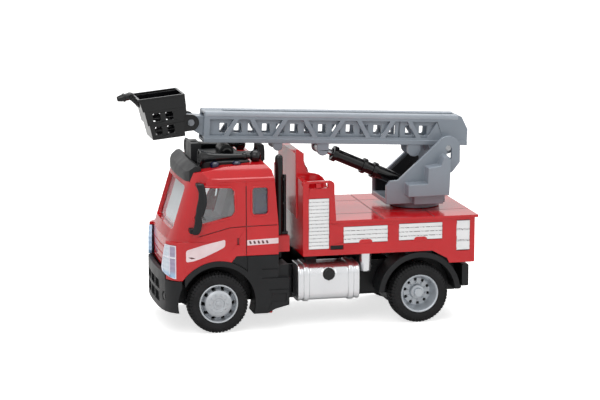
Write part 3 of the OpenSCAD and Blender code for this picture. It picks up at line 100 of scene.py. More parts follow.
def patterned(name, kind, look):
    socket, usual = kind["own"]
    material, tree, shader = newFinish(name, {socket: look.get(socket, usual)})
    where = addNode(tree, "TexCoord").outputs["Object"]
    flow, rub, grain = (addNode(tree, "TexNoise", {
        "Vector": where, "Scale": metre / size, "Detail": detail}).outputs["Fac"]
        for size, detail in zip(look["sizes"], kind["details"]))
    cloud = addNode(tree, "MapRange", {"Value": flow, "From Min": kind["spread"][0],
                                       "From Max": kind["spread"][1]})
    tint = addNode(tree, "Mix", {"Factor": cloud.outputs[0], "A": linear(look["tints"][1]),
                                 "B": linear(look["tints"][0])}, data_type="RGBA")
    gloss = addNode(tree, "MapRange", {"Value": rub, "From Min": noiseSpan[0], "From Max": noiseSpan[1],
                                       "To Min": look["rough"][0], "To Max": look["rough"][1]})
    bump = addNode(tree, "Bump", {"Height": grain, "Distance": look["depth"] * mm, "Strength": 1.0})
    # painted shade: pits that stand for open holes are coloured near black
    if "hole" in look:  # the dark behind an open hole, from the piece's own marks
        marks = addNode(tree, "Attribute", attribute_name="marks")
        marks = addNode(tree, "SeparateXYZ", {0: marks.outputs["Vector"]})
        tint = addNode(tree, "Mix", {"Factor": marks.outputs["X"], "A": tint.outputs["Result"],
                                     "B": linear(look["hole"])}, data_type="RGBA")
    feed(tree, shader, {"Base Color": tint.outputs["Result"], "Roughness": gloss.outputs[0],
                        "Normal": bump.outputs["Normal"]})
    return material


finishes = {
    # ABS moulded in a polished tool: deep red gloss that mirrors its neighbours softly
    "red_plastic": patterned("redAbsPolishedMoulding", plastic, {
        "tints": ("#cf1820", "#c3121a"), "rough": (0.10, 0.16), "sizes": (26, 14, 2.6), "depth": 0.006}),
    # polypropylene from a spark eroded tool: satin black with a fine leathery grain
    "black_plastic": patterned("blackPolypropyleneGrainedMoulding", plastic, {
        "tints": ("#1a1b1d", "#141517"), "rough": (0.36, 0.48), "sizes": (18, 9, 0.5), "depth": 0.02, "IOR": 1.36}),
    # ABS moulded in a polished tool: black, brighter lights on edges
    "black_gloss": patterned("blackAbsPolishedMoulding", plastic, {
        "tints": ("#111214", "#0c0d0e"), "rough": (0.11, 0.17), "sizes": (16, 8, 1.2),
        "depth": 0.004, "IOR": 1.42}),
    # ABS moulded in a fine blasted tool: cool grey, even satin
    "grey_plastic": patterned("greyAbsSatinMoulding", plastic, {
        "tints": ("#8e97a1", "#88919b"), "rough": (0.20, 0.26), "sizes": (30, 18, 0.9), "depth": 0.003}),
    # the same ABS along the rails' tops, painted paler: a painted highlight where the top light falls on them
    "railGrey": patterned("greyAbsRubbedMoulding", plastic, {
        "tints": ("#aab2bb", "#a2aab3"), "rough": (0.18, 0.24), "sizes": (30, 18, 0.9), "depth": 0.003}),
    # ABS moulding inside the cab: pale grey, matt
    "cabin_grey": patterned("paleGreyAbsMattMoulding", plastic, {
        "tints": ("#e9ecef", "#dcdfe3"), "rough": (0.42, 0.55), "sizes": (10, 6, 0.6), "depth": 0.012}),
    # acetal gear, unpainted: milky white, waxy
    "gear_plastic": patterned("milkyAcetalMoulding", plastic, {
        "tints": ("#e6e2d6", "#dcd7c9"), "rough": (0.34, 0.42), "sizes": (8, 5, 0.8), "depth": 0.006, "IOR": 1.48}),
    # soft PVC tyre, moulded: near black, dull, dusty in patches
    "tyre_rubber": patterned("blackPvcTyreMoulding", plastic, {
        "tints": ("#18181a", "#101011"), "rough": (0.52, 0.68), "sizes": (7, 4, 0.45),
        "depth": 0.025, "IOR": 1.34}),
    # styrene lamp, moulded through in colour: deep blue, glassy
    "blue_lamp": patterned("blueStyreneLampMoulding", plastic, {
        "tints": ("#0d1844", "#080f2c"), "rough": (0.08, 0.14), "sizes": (4, 3, 1.0), "depth": 0.004, "IOR": 1.59}),
    # styrene lamp, moulded through in colour: signal red, glassy
    "red_lamp": patterned("redStyreneLampMoulding", plastic, {
        "tints": ("#b0121a", "#7e0a10"), "rough": (0.08, 0.14), "sizes": (5, 3, 1.6), "depth": 0.02, "IOR": 1.59}),
    # white print on the doors, slightly pink where the red shows through
    "doorPrint": patterned("pinkishPadPrint", plastic, {
        "tints": ("#f3dfe1", "#ecd3d6"), "rough": (0.26, 0.36), "sizes": (5, 4, 0.7), "depth": 0.004}),
    # dark red print, thin and dull
    "darkPrint": patterned("darkRedPadPrint", plastic, {
        "tints": ("#5a1c22", "#4a1219"), "rough": (0.34, 0.44), "sizes": (3, 2, 0.6), "depth": 0.004}),
    # painted shade for the dark in a mould's joint lines and gaps: a dull dark red
    "jointShade": patterned("dustyJointLine", plastic, {
        "tints": ("#5d1116", "#470b10"), "rough": (0.5, 0.6), "sizes": (9, 4, 0.6), "depth": 0.004}),
    # dark blue film behind the rear cab windows: painted shade of the cabin, which it hides
    "blindFilm": patterned("navyPolyesterFilm", plastic, {
        "tints": ("#182150", "#0c112c"), "rough": (0.3, 0.4), "sizes": (6, 4, 0.8), "depth": 0.004, "IOR": 1.12}),
    # silver paint over plastic, sprayed: bright, soft mirror with a fine sparkle
    "silver_plastic": patterned("silverSprayPaint", metal, {
        "tints": ("#e6e7e9", "#d9dbde"), "rough": (0.20, 0.28), "Metallic": 0.9, "sizes": (12, 12, 0.35),
        "depth": 0.004}),
    # silver paint, sprayed thin on the front rims: greyer, with little mirror left
    "front_rim_silver": patterned("silverGreyRimPaint", metal, {
        "tints": ("#c3c7cb", "#aeb2b7"), "rough": (0.34, 0.44), "Metallic": 0.55, "sizes": (5, 5, 0.35),
        "depth": 0.006, "hole": "#0c0c0d"}),
    # grey metallic paint, sprayed on the rear rims: satin, with a faint metal glint
    "rear_rim_grey": patterned("greyRimPaint", metal, {
        "tints": ("#c2c7cc", "#abb1b7"), "rough": (0.32, 0.42), "Metallic": 0.5, "sizes": (5, 5, 0.35),
        "depth": 0.006, "hole": "#0c0c0d"}),
    # drawn steel wire and turned screws: grey, fairly bright
    "steel": patterned("drawnSteel", metal, {
        "tints": ("#b4b7ba", "#9a9da1"), "rough": (0.24, 0.34), "sizes": (4, 4, 0.3), "depth": 0.004}),
    # steel pin, blackened: dull grey
    "darkSteel": patterned("blackenedSteel", metal, {
        "tints": ("#84888d", "#74787d"), "rough": (0.36, 0.46), "Metallic": 0.8, "sizes": (3, 3, 0.3),
        "depth": 0.004}),
    # zinc casting, left rough: dull warm grey with a coarse skin
    "flywheel_zinc": patterned("castZinc", metal, {
        "tints": ("#a5a29c", "#8e8b85"), "rough": (0.42, 0.55), "sizes": (4, 4, 0.6), "depth": 0.03}),
}

# styrene window, moulded clear: colourless with sharp lights and a trace of milkiness
finishes["window_clear"] = newFinish("clearStyreneWindowMoulding", {
    "IOR": 1.59, "Roughness": 0.02, "Transmission Weight": 0.97, "Base Color": linear("#f4f8fa")})[0]
# milky white film behind the windscreen, half clear: a painted reflection that whitens the glass
finishes["screenFilm"] = newFinish("milkyPolyesterFilm", {
    "IOR": 1.5, "Roughness": 0.18, "Transmission Weight": 0.45, "Base Color": linear("#f7f9fb")})[0]

# clear styrene lens silvered on its back: milky lilac rims, smoky side panes, pale front panes, blue where it is
# thick. Each mark brings in its own two shades, mixed along the ribs, whose size and height are in millimetres.
lensLook = {"rim": "#f3f1fb", "rib": 1.6, "waver": 0.6, "high": 0.15,
            "shades": {"X": ("#a094b2", "#ab9fbb"), "Y": ("#d2deec", "#dde6f1"), "Z": ("#a3cdee", "#a3cdee")}}
finishes["headlight_clear"], tree, shader = newFinish("silveredStyreneLens", {
    "IOR": 1.55, "Roughness": 0.14, "Coat Weight": 0.8, "Coat Roughness": 0.03})
marks = addNode(tree, "Attribute", attribute_name="marks")
marks = addNode(tree, "SeparateXYZ", {0: marks.outputs["Vector"]}).outputs
ribs = addNode(tree, "TexWave", {
    "Vector": addNode(tree, "TexCoord").outputs["Object"], "Scale": metre / lensLook["rib"] / math.tau,
    "Distortion": lensLook["waver"]}, bands_direction="Z").outputs["Fac"]
colour = linear(lensLook["rim"])
for mark, (dark, pale) in lensLook["shades"].items():
    shade = addNode(tree, "Mix", {"Factor": ribs, "A": linear(dark), "B": linear(pale)}, data_type="RGBA")
    colour = addNode(tree, "Mix", {"Factor": marks[mark], "A": colour, "B": shade.outputs["Result"]},
                     data_type="RGBA").outputs["Result"]
bump = addNode(tree, "Bump", {"Height": ribs, "Distance": lensLook["high"] * mm})
feed(tree, shader, {"Base Color": colour, "Normal": bump.outputs["Normal"]})

# white pad print over red slats: even white crowns, a thin dark line in each groove, ends that miss here and there.
# patch and cloud are the sizes of its patterns in millimetres. line is where the dark line starts, as a share of the
# slat from its middle.
printLook = {"white": ("#eceef0", "#fafafa"), "bare": "#b3383d", "groove": "#4b3a41", "patch": 1.8, "cloud": 9,
             "pull": -1.5, "miss": (-0.75, -0.6), "line": (0.40, 0.44), "rough": (0.28, 0.42)}
finishes["white_panel"], tree, shader = newFinish("whitePadPrint", {"IOR": 1.5})
marks = addNode(tree, "Attribute", attribute_name="marks")
marks = addNode(tree, "SeparateXYZ", {0: marks.outputs["Vector"]}).outputs
where = addNode(tree, "TexCoord").outputs["Object"]
patch, cloud = (addNode(tree, "TexNoise", {
    "Vector": where, "Scale": metre / printLook[size], "Detail": detail}).outputs["Fac"]
    for size, detail in (("patch", 3.0), ("cloud", 2.0)))
miss = addNode(tree, "Math", {0: patch, 1: printLook["pull"], 2: marks["X"]}, operation="MULTIPLY_ADD")
cover = addNode(tree, "MapRange", {"Value": miss.outputs[0], "From Min": printLook["miss"][0],
                                   "From Max": printLook["miss"][1]})
off = addNode(tree, "Math", {0: marks["Y"], 1: 0.5}, operation="SUBTRACT")
off = addNode(tree, "Math", {0: off.outputs[0]}, operation="ABSOLUTE")
line = addNode(tree, "MapRange", {"Value": off.outputs[0], "From Min": printLook["line"][0],
                                  "From Max": printLook["line"][1]})
white = addNode(tree, "Mix", {"Factor": cloud, "A": linear(printLook["white"][0]),
                              "B": linear(printLook["white"][1])}, data_type="RGBA")
colour = addNode(tree, "Mix", {"Factor": cover.outputs[0], "A": linear(printLook["bare"]),
                               "B": white.outputs["Result"]}, data_type="RGBA")
colour = addNode(tree, "Mix", {"Factor": line.outputs[0], "A": colour.outputs["Result"],
                               "B": linear(printLook["groove"])}, data_type="RGBA")
gloss = addNode(tree, "MapRange", {"Value": patch, "To Min": printLook["rough"][0],
                                   "To Max": printLook["rough"][1]})
feed(tree, shader, {"Base Color": colour.outputs["Result"], "Roughness": gloss.outputs[0]})
print("finishes made:", len(finishes))

madeAnew = []


# slot, body and the solids a piece stands for; finish names one that isn't its slot's own
def finishPiece(piece, slot, body, *stoodFor, finish=None):
    madeAnew.extend(stoodFor)
    piece.data.materials.clear()
    piece.data.materials.append(finishes[finish or slot])
    if stoodFor:
        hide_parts(*stoodFor)
    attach(piece, body)
    return piece


def addObject(name, data):
    thing = bpy.data.objects.new(name, data)
    bpy.context.scene.collection.objects.link(thing)
    return thing


# A copy of a CAD solid with its loose triangles merged and its sharp edges rounded as a mould leaves them. bores are
# holes across the truck whose edges stay as cut, each given as distance along, height and reach.
def mouldedCopy(node, rounding=0.2, bores=(), finish=None):
    sharp, flat = math.radians(30), math.radians(0.4)
    bm = bmesh.new()
    bm.from_mesh(frame["nodes"][node].data)
    bmesh.ops.remove_doubles(bm, verts=bm.verts, dist=mergeReach)
    if bores:  # flat faces in one piece, so that a wide rounding doesn't fold their slivers
        bmesh.ops.dissolve_limit(bm, angle_limit=flat, verts=bm.verts, edges=bm.edges)
        weight = bm.edges.layers.float.new("bevel_weight_edge")
        for edge in bm.edges:
            bored = any(all(math.hypot(v.co.x - x, v.co.z - z) < reach for v in edge.verts) for x, z, reach in bores)
            edge[weight] = float(edge.calc_face_angle(0.0) > sharp and not bored)
    words = node.split("_")
    mesh = bpy.data.meshes.new(words[0] + "".join(w.title() for w in words[1:]))
    bm.to_mesh(mesh)
    bm.free()
    for layer in ("custom_normal", "sharp_edge", "sharp_face"):
        if layer in mesh.attributes:
            mesh.attributes.remove(mesh.attributes[layer])
    mesh.polygons.foreach_set("use_smooth", np.ones(len(mesh.polygons), bool))
    piece = addObject(mesh.name, mesh)
    soft = piece.modifiers.new("mouldRadius", "BEVEL")
    soft.width, soft.segments = rounding * mm, 2
    soft.limit_method = "WEIGHT" if bores else "ANGLE"
    soft.angle_limit = sharp
    soft.use_clamp_overlap = False
    soft.miter_outer = "MITER_ARC"
    even = piece.modifiers.new("evenShading", "WEIGHTED_NORMAL")
    even.keep_sharp = True
    return finishPiece(piece, slotOf[node], bodyOf[node], node, finish=finish)


# quads of a grid of points, either way closed on itself where asked
def gridFaces(rows, columns, loopRows, loopColumns):
    r, c = np.meshgrid(np.arange(rows - (not loopRows)), np.arange(columns - (not loopColumns)), indexing="ij")
    below, beside = (r + 1) % rows, (c + 1) % columns
    return np.stack([r * columns + c, r * columns + beside, below * columns + beside, below * columns + c],
                    axis=-1).reshape(-1, 4)


# one mesh from one or more grids; marks are three numbers at each point that a finish can read
def surfacePiece(name, *patches, sharp=38):
    points, faces, marks, start = [], [], [], 0
    for patch in patches:
        rows, columns = patch["points"].shape[:2]
        points.append(patch["points"].reshape(-1, 3))
        faces.append(gridFaces(rows, columns, *patch.get("loops", (False, True))) + start)
        marks.append(np.broadcast_to(patch.get("marks", np.zeros(3)), (rows, columns, 3)).reshape(-1, 3))
        start += rows * columns
    mesh = bpy.data.meshes.new(name)
    mesh.from_pydata(np.concatenate(points).tolist(), [], np.concatenate(faces).tolist())
    layer = mesh.attributes.new("marks", "FLOAT_VECTOR", "POINT")
    layer.data.foreach_set("vector", np.concatenate(marks).astype(np.float32).ravel())
    bm = bmesh.new()
    bm.from_mesh(mesh)
    bmesh.ops.remove_doubles(bm, verts=bm.verts, dist=mergeReach)
    bmesh.ops.recalc_face_normals(bm, faces=bm.faces)
    bm.to_mesh(mesh)
    bm.free()
    mesh.polygons.foreach_set("use_smooth", np.ones(len(mesh.polygons), bool))
    mesh.set_sharp_from_angle(angle=math.radians(sharp))
    return addObject(name, mesh)


# points at even steps along a broken line
def alongLine(keys, count):
    keys = np.asarray(keys, float)
    run = np.r_[0, np.cumsum(np.hypot(*np.diff(keys, axis=0).T))]
    steps = np.linspace(0, run[-1], count)
    return np.interp(steps, run, keys[:, 0]), np.interp(steps, run, keys[:, 1])


# 0 below low, 1 above high, eased between them
def ease(low, high, value):
    t = np.clip((value - low) / (high - low), 0, 1)
    return t * t * (3 - 2 * t)


# 1 within a band, eased to 0 at both its edges
def band(low, full, fade, high, value):
    return ease(low, full, value) * (1 - ease(fade, high, value))


# angles at even steps round a full turn
def fullTurn(count):
    return np.linspace(0, 2 * np.pi, count, endpoint=False)[None]


# radii turned about a line: how far each point lies along the two directions square to it
def turned(radii, count):
    turn = fullTurn(count)
    return radii * np.cos(turn), radii * np.sin(turn)


# rounded square section: cosine and sine of a turn, each drawn out towards the corners
def squareTurn(turn, power):
    return (np.sign(k) * np.abs(k) ** power for k in (np.cos(turn), np.sin(turn)))


# closed slab between a front and a back grid: round the edge at the sides, folded on to the back at both ends
def slabGrid(front, back):
    skin = np.concatenate([front, back[:, ::-1]], axis=1)
    ends = np.concatenate([back, back[:, ::-1]], axis=1)
    return np.concatenate([ends[:1], skin, ends[-1:]])


# Tyre: a section from bead to bead turned about the axle. Points are pushed in along the section's normal where
# a groove runs: two rings round the tread, cross cuts between its blocks, a ring of pockets on each shoulder.
tyreLook = {
    "mid": 37.6, "axleHigh": 20, "teeth": 54, "columns": 540, "cut": 0.75, "cutHalf": (0.12, 0.2), "pocket": 0.4,
    "tread": (1.2, 1.6, 6.0, 6.3), "treadFrom": 18.8, "shoulder": (17.5, 17.65, 18.4, 18.55),
    "ring": {"deep": 0.6, "aside": 1.5, "wide": 0.3, "from": 19},
    "section": [(13.02, 5.6), (13.02, 6.5), (13.3, 7.0), (13.7, 7.15), (14.1, 7.02), (14.5, 7.2), (16.4, 7.2),
                (17.1, 7.05), (17.25, 6.8), (17.4, 6.95), (18.6, 6.6), (19.2, 6.1), (19.7, 5.3), (20.0, 4.4),
                (20.0, 0.0)],
}


def tyreGrid(axleAt, side):
    r, h = alongLine(tyreLook["section"], 40)
    r, h = np.r_[r, r[-2::-1]][:, None], np.r_[h, -h[-2::-1]][:, None]
    dr, dh = np.gradient(r, axis=0), np.gradient(h, axis=0)
    size = np.hypot(dr, dh)
    turn = fullTurn(tyreLook["columns"])
    phase = turn * tyreLook["teeth"] / (2 * np.pi) + 0.5 * (h < 0)
    cut = 1 - ease(*tyreLook["cutHalf"], np.abs(phase % 1 - 0.5))
    tread = band(*tyreLook["tread"], np.abs(h)) * (r > tyreLook["treadFrom"])
    shoulder = band(*tyreLook["shoulder"], r)
    ring = tyreLook["ring"]
    groove = (r > ring["from"]) * ring["deep"] * np.exp(-((np.abs(h) - ring["aside"]) / ring["wide"]) ** 2)
    push = tyreLook["cut"] * cut * tread + tyreLook["pocket"] * cut * shoulder + groove
    fore, up = turned(r + push * dh / size, tyreLook["columns"])
    points = place(axleAt + fore, side * (tyreLook["mid"] + h - push * dr / size), tyreLook["axleHigh"] + up)
    return {"points": points, "loops": (True, True)}


# Rim: a face and back profile turned about the axle from pole to pole, with pits for the hand holes and round
# bumps for the bolts set out evenly round it. The first mark says how far a point lies in a hole.
# the rims' finishes paint the pits near black, a painted shade for the open holes
rimLooks = {
    "front": {"axle": 0.0, "hole": (10.0, 1.1, 2.6), "bolt": (5.9, 0.62, 0.7), "first": 72,
              "face": [(0, 7.5), (0.9, 7.5), (1.1, 7.2), (1.9, 7.15), (2.1, 6.6), (3.6, 6.6), (4.0, 7.2),
                       (5.4, 7.25), (7.4, 7.0), (8.7, 6.4), (9.5, 5.4), (10.4, 3.6), (11.2, 3.0), (11.5, 3.6),
                       (11.7, 6.4), (12.0, 7.0), (12.5, 7.2), (12.9, 7.0), (13.0, 6.4)],
              "back": [(13.0, 6.4), (13.0, -6.4), (11.4, -6.4), (11.4, -0.4), (4.2, -0.4), (4.2, -4), (0, -4)]},
    "rear": {"axle": 136.6, "hole": (8.1, 0.9, 1.9), "bolt": (6.2, 0.5, 0.7), "first": 60,
             "face": [(0, 5.2), (2.6, 5.2), (2.95, 4.9), (3.05, 2.4), (4.5, 2.0), (4.8, 1.4), (5.0, -1.0),
                      (9.0, -1.2), (9.7, -0.4), (10.6, 2.6), (11.2, 5.6), (11.7, 6.7), (12.2, 7.15), (12.7, 7.15),
                      (13.0, 6.6)],
             "back": [(13.0, 6.6), (13.0, -6.4), (11.3, -6.4), (11.3, -3.8), (5, -3.8), (5, -5.6), (0, -5.6)]},
    "both": {"holes": 10, "columns": 300, "holeEdge": (0.85, 1.05), "boltEdge": (0.7, 1.1)},
}


def rimGrid(look, side):
    both = rimLooks["both"]
    faceR, faceH = alongLine(look["face"], 150)
    backR, backH = alongLine(look["back"], 40)
    r, h = np.r_[faceR, backR[1:]][:, None], np.r_[faceH, backH[1:]][:, None]
    onFace = (np.arange(len(r)) < len(faceR))[:, None]
    turn = fullTurn(both["columns"])
    steps = (turn - np.radians(look["first"])) * both["holes"] / (2 * np.pi)
    fromHole = ((steps + 0.5) % 1 - 0.5) * 2 * np.pi / both["holes"]
    holeAt, holeR, holeDeep = look["hole"]
    hole = onFace * (1 - ease(*both["holeEdge"], np.maximum(np.abs(r - holeAt), np.abs(r * fromHole)) / holeR))
    boltAt, boltR, boltHigh = look["bolt"]
    bolt = onFace * (1 - ease(*both["boltEdge"], np.hypot(r - boltAt, r * fromHole) / boltR))
    h = h - holeDeep * hole + boltHigh * bolt
    fore, up = turned(r, both["columns"])
    points = place(look["axle"] + fore, side * (tyreLook["mid"] + h), tyreLook["axleHigh"] + up)
    return {"points": points, "marks": np.stack([hole, bolt, np.zeros_like(hole)], axis=-1)}


for pair in ("front", "rear"):
    for hand, side in hands:
        tyre = surfacePiece(pair + hand.title() + "Tyre", tyreGrid(rimLooks[pair]["axle"], side))
        finishPiece(tyre, "tyre_rubber", pair + "_wheels", f"{pair}_tyre_{hand}")
        rim = surfacePiece(pair + hand.title() + "Rim", rimGrid(rimLooks[pair], side))
        finishPiece(rim, slotOf[f"{pair}_rim_{hand}"], pair + "_wheels", f"{pair}_rim_{hand}")
print("wheels made")

# Fuel tank: a superellipse section carried from end to end and cut flat at the chassis. It swells at two straps
# and at the end beads and is drawn in round the ends. The left one is sunk for the button, the right has a cap.
tankLook = {
    "x": (53.4, 95.6), "outer": 43.6, "inner": 24.05, "middle": 30.2, "high": 12.2, "deep": 13.0, "power": 4.4,
    "straps": (59.4, 89.6), "strapHalf": 1.9, "strapRise": 0.8, "strapGroove": (0.15, 1.2, 0.15),
    "endRound": 0.9, "bead": 0.3, "beadEdge": (1.6, 2.2), "dish": 0.6, "dishShares": (0.82, 0.86),
    "button": (74.4, 36.2), "faceFrom": 41, "collar": (4.0, 4.2, 4.8, 5.1),
    "well": {"push": -3.2, "edge": (3.75, 4.0), "collarRise": 0.3},
    "cap": {"push": 1.1, "edge": (3.6, 4.0), "collarRise": 0.25},
}


def tankGrid(side):
    x0, x1 = tankLook["x"]
    c, s = squareTurn(np.linspace(0, 2 * np.pi, 2000), 2 / tankLook["power"])
    c, s = alongLine(np.stack([c * tankLook["deep"], s * tankLook["high"]], axis=1), 261)
    c, s = c[None, :-1] / tankLook["deep"], s[None, :-1] / tankLook["high"]
    x = np.linspace(x0, x1, 141)
    fromEnd = np.minimum(x - x0, x1 - x)
    soft = tankLook["endRound"]
    swell = -soft * (1 - np.sqrt(1 - np.clip(1 - fromEnd / soft, 0, 1) ** 2))
    swell = swell + tankLook["bead"] * (1 - ease(*tankLook["beadEdge"], fromEnd))
    grooveDeep, grooveAt, grooveWide = tankLook["strapGroove"]
    for strap in tankLook["straps"]:
        across = np.abs(x - strap) / tankLook["strapHalf"]
        swell = swell + tankLook["strapRise"] * np.sqrt(np.clip(1 - across ** 4, 0, 1))
        swell = swell - grooveDeep * np.exp(-((across - grooveAt) / grooveWide) ** 2)
    low, high = tankLook["dishShares"]
    share = np.r_[0, low, high, np.ones(len(x)), high, low, 0][:, None]
    in0, in1 = x0 + tankLook["dish"], x1 - tankLook["dish"]
    x = np.r_[in0, in0, x0, x, x1, in1, in1][:, None]
    swell = np.r_[0, 0, -soft, swell, -soft, 0, 0][:, None]
    out = tankLook["outer"] - tankLook["deep"] + share * (tankLook["deep"] + swell) * c
    z = tankLook["middle"] + share * (tankLook["high"] + swell) * s
    reach = np.hypot(x - tankLook["button"][0], z - tankLook["button"][1])
    onFace = (out > tankLook["faceFrom"]) & (share == 1)
    fitting = tankLook["well" if side < 0 else "cap"]
    push = fitting["push"] * (1 - ease(*fitting["edge"], reach))
    push = push + fitting["collarRise"] * band(*tankLook["collar"], reach)
    return {"points": place(x, side * (np.maximum(out, tankLook["inner"]) + onFace * push), z)}


for hand, side in hands:
    finishPiece(surfacePiece(hand + "FuelTank", tankGrid(side)), "silver_plastic", "truck", "fuel_tank_" + hand)
print("tanks made")

# Roller shutter: each slat is a strip with a flat crown that falls to a groove at both edges. The marks are the
# distance to the nearer end of the slat and the share of the way up it, for the print.
shutterLook = {
    "sill": 44.02, "tailSill": 173.32, "rise": 0.82, "groove": 0.5, "crisp": 9, "lips": (0.12, 0.3),
    "endShare": 0.75,
    "louvre": {"x": (60.4, 74.2), "edges": np.linspace(53.4, 87.4, 15)},
    "middle": {"x": (84.0, 114.2), "edges": np.linspace(56.6, 67.8, 5)},
    "rear": {"x": (121.8, 151.8), "edges": np.linspace(56.8, 68.2, 5)},
    "corner": {"x": (161.6, 170.9), "edges": np.array([48.2, 55.0, 62.6, 69.0])},
    "tail": {"x": (-30.0, 30.0), "edges": np.linspace(45.0, 67.0, 9)},
}


def shutterGrid(look, where):
    edges = look["edges"]
    share = np.linspace(0, 1, 13)
    z = (edges[:-1, None] + share * np.diff(edges)[:, None]).ravel()[None]
    up = np.tile(share, len(edges) - 1)[None]
    (x0, x1), (lip, full), least = look["x"], shutterLook["lips"], shutterLook["endShare"]
    x = np.r_[x0, x0 + lip, np.linspace(x0 + full, x1 - full, 40), x1 - lip, x1][:, None]
    fromEnd = np.minimum(x - x0, x1 - x)
    crown = shutterLook["rise"] - shutterLook["groove"] * np.abs(2 * up - 1) ** shutterLook["crisp"]
    front = shutterLook["sill"] + crown * (least + (1 - least) * ease(0, full, fromEnd))
    x, z, front = np.broadcast_arrays(x, z, front)
    marks = np.stack([*np.broadcast_arrays(fromEnd, up), np.zeros_like(x)], axis=-1)
    points = slabGrid(where(x, front, z), where(x, np.full_like(x, shutterLook["sill"]), z))
    return {"points": points, "marks": slabGrid(marks, marks)}


for hand, side in hands:
    panels = [shutterGrid(shutterLook[p], lambda x, out, z: place(x, side * out, z))
              for p in ("louvre", "middle", "rear", "corner")]
    finishPiece(surfacePiece(hand + "Shutters", *panels), "white_panel", "truck", "shutters_" + hand)
tail = shutterGrid(shutterLook["tail"],
                   lambda x, out, z: place(out - shutterLook["sill"] + shutterLook["tailSill"], x, z))
finishPiece(surfacePiece("tailShutter", tail), "white_panel", "truck", "rear_shutter")
print("shutters made")


# outline with rounded corners: a short quadratic curve in place of each corner, then even steps all round
def roundOutline(corners, radius):
    corners = np.asarray(corners, float)
    back, ahead = np.roll(corners, 1, axis=0) - corners, np.roll(corners, -1, axis=0) - corners
    start = corners + radius * back / np.linalg.norm(back, axis=1, keepdims=True)
    end = corners + radius * ahead / np.linalg.norm(ahead, axis=1, keepdims=True)
    t = np.linspace(0, 1, 9)[None, :, None]
    bend = (1 - t) ** 2 * start[:, None] + 2 * t * (1 - t) * corners[:, None] + t ** 2 * end[:, None]
    return np.stack(alongLine(np.concatenate([bend.reshape(-1, 2), bend[0, :1]]), 121), axis=1)[:-1]


# Pad on a side wall: its outline shrunk to the middle in rings, behind the wall on the way out, then over a
# rounded rim and back to the middle along the face, so that it follows the wall's curve. A wall is a list of
# distances from the front axle and a list of the half widths there.
padLook = {"behind": -0.08, "rim": 0.06, "bend": 0.3, "bendRise": 0.75, "rings": (12, 16)}


def padGrid(outline, wall, rise, side, rim):
    inside, outside = padLook["rings"]
    share = np.r_[np.linspace(0, 1, inside), 1 - rim * padLook["bend"], np.linspace(1 - rim, 0, outside)]
    lift = np.r_[np.full(inside, padLook["behind"]), rise * padLook["bendRise"], np.full(outside, rise)]
    middle = outline.mean(axis=0)
    x, z = np.moveaxis(middle + share[:, None, None] * (outline - middle), -1, 0)
    return {"points": place(x, side * (np.interp(x, *wall) + lift[:, None]), z)}


# prints, grips, and gaps and films painted dark as shade, on both sides: each outline with the radius of its corners
cabWall = ([-30.6, -27.2, -22, -15], [38, 41.6, 43.6, 44.2])
archLook = {"radius": 28.7, "turn": np.radians(np.linspace(72, 47, 12))}
archCurve = np.stack([archLook["radius"] * np.cos(archLook["turn"]),
                      tyreLook["axleHigh"] + archLook["radius"] * np.sin(archLook["turn"])], axis=1)
markingLook = {
    "stepSlots": {"slot": "black_plastic", "wall": ([0], [44.05]), "rise": 0.15, "outlines": [
        ([(75.1, 55.5), (83.9, 55.5), (83.9, 52.7), (75.1, 52.7)], 0.5)]},
    "archFills": {"slot": "black_plastic", "wall": ([0], [42.8]), "rise": 0.9, "rim": 0.02, "outlines": [
        ([*archCurve, (19.9, 51.2), (12.1, 51.2)], 0.2)]},
    "doorFlashes": {"slot": "white_panel", "finish": "doorPrint", "wall": cabWall, "rise": 0.12, "outlines": [
        ([(-21.4, 56.4), (-9.9, 59.7), (4.9, 62.8), (4.7, 57.9), (-1.1, 55.0), (-10.0, 51.2), (-16.6, 49.1),
          (-21.4, 48.5)], 1.5),
        ([(19.2, 61.7), (40.2, 62.4), (40.2, 58.7), (19.2, 58.1)], 0.3)]},
    "doorTicks": {"slot": "red_plastic", "finish": "darkPrint", "wall": cabWall, "rise": 0.17, "outlines": [
        *(([(x, 61.1), (x + 1.1, 61.2), (x + 2.0, 59.3), (x + 1.4, 59.0), (x + 0.6, 59.1)], 0.2)
          for x in (20.4, 23.2, 26.0, 28.8, 31.6)),
        ([(-20.1, 51.9), (-17.6, 51.9), (-15.0, 51.1), (-17.6, 50.7)], 0.15)]},
    "shutterGrips": {"slot": "red_plastic", "wall": ([0], [44.6]), "rise": 0.7, "rim": 0.2, "outlines": [
        ([(x - 4.6, 56.0), (x + 4.6, 56.0), (x + 4.6, 57.8), (x + 3.2, 58.9), (x - 3.2, 58.9), (x - 4.6, 57.8)], 0.6)
        for x in (99.1, 136.8)]},
    # door gaps: dark strips of painted shade in the cab's joint lines
    "doorGaps": {"slot": "red_plastic", "finish": "jointShade", "wall": ([0], [43.6]), "rise": 0.08, "outlines": [
        ([(18.52, 51.6), (19.08, 51.6), (19.08, 98.0), (18.52, 98.0)], 0.05),
        ([(-13.0, 64.87), (7.4, 70.0), (7.4, 70.55), (-13.0, 65.43)], 0.05),
        ([(7.4, 70.02), (18.5, 70.52), (18.5, 71.08), (7.4, 70.58)], 0.05),
        ([(19.1, 70.55), (39.6, 70.72), (39.6, 71.28), (19.1, 71.1)], 0.05),
        ([(13.0, 58.9), (13.7, 58.9), (13.7, 63.1), (13.0, 63.1)], 0.05)]},
    # painted shade of the cabin behind the rear windows
    "rearBlinds": {"slot": "blue_lamp", "finish": "blindFilm", "wall": ([0], [39.9]), "rise": 0.3, "outlines": [
        ([(24.4, 96.7), (33.7, 96.7), (33.7, 77.9), (24.4, 77.9)], 1.0)]},
}
for name, look in markingLook.items():
    pads = [padGrid(roundOutline(corners, radius), look["wall"], look["rise"], side, look.get("rim", padLook["rim"]))
            for hand, side in hands for corners, radius in look["outlines"]]
    finishPiece(surfacePiece(name, *pads), look["slot"], "truck", finish=look.get("finish"))
print("markings made")

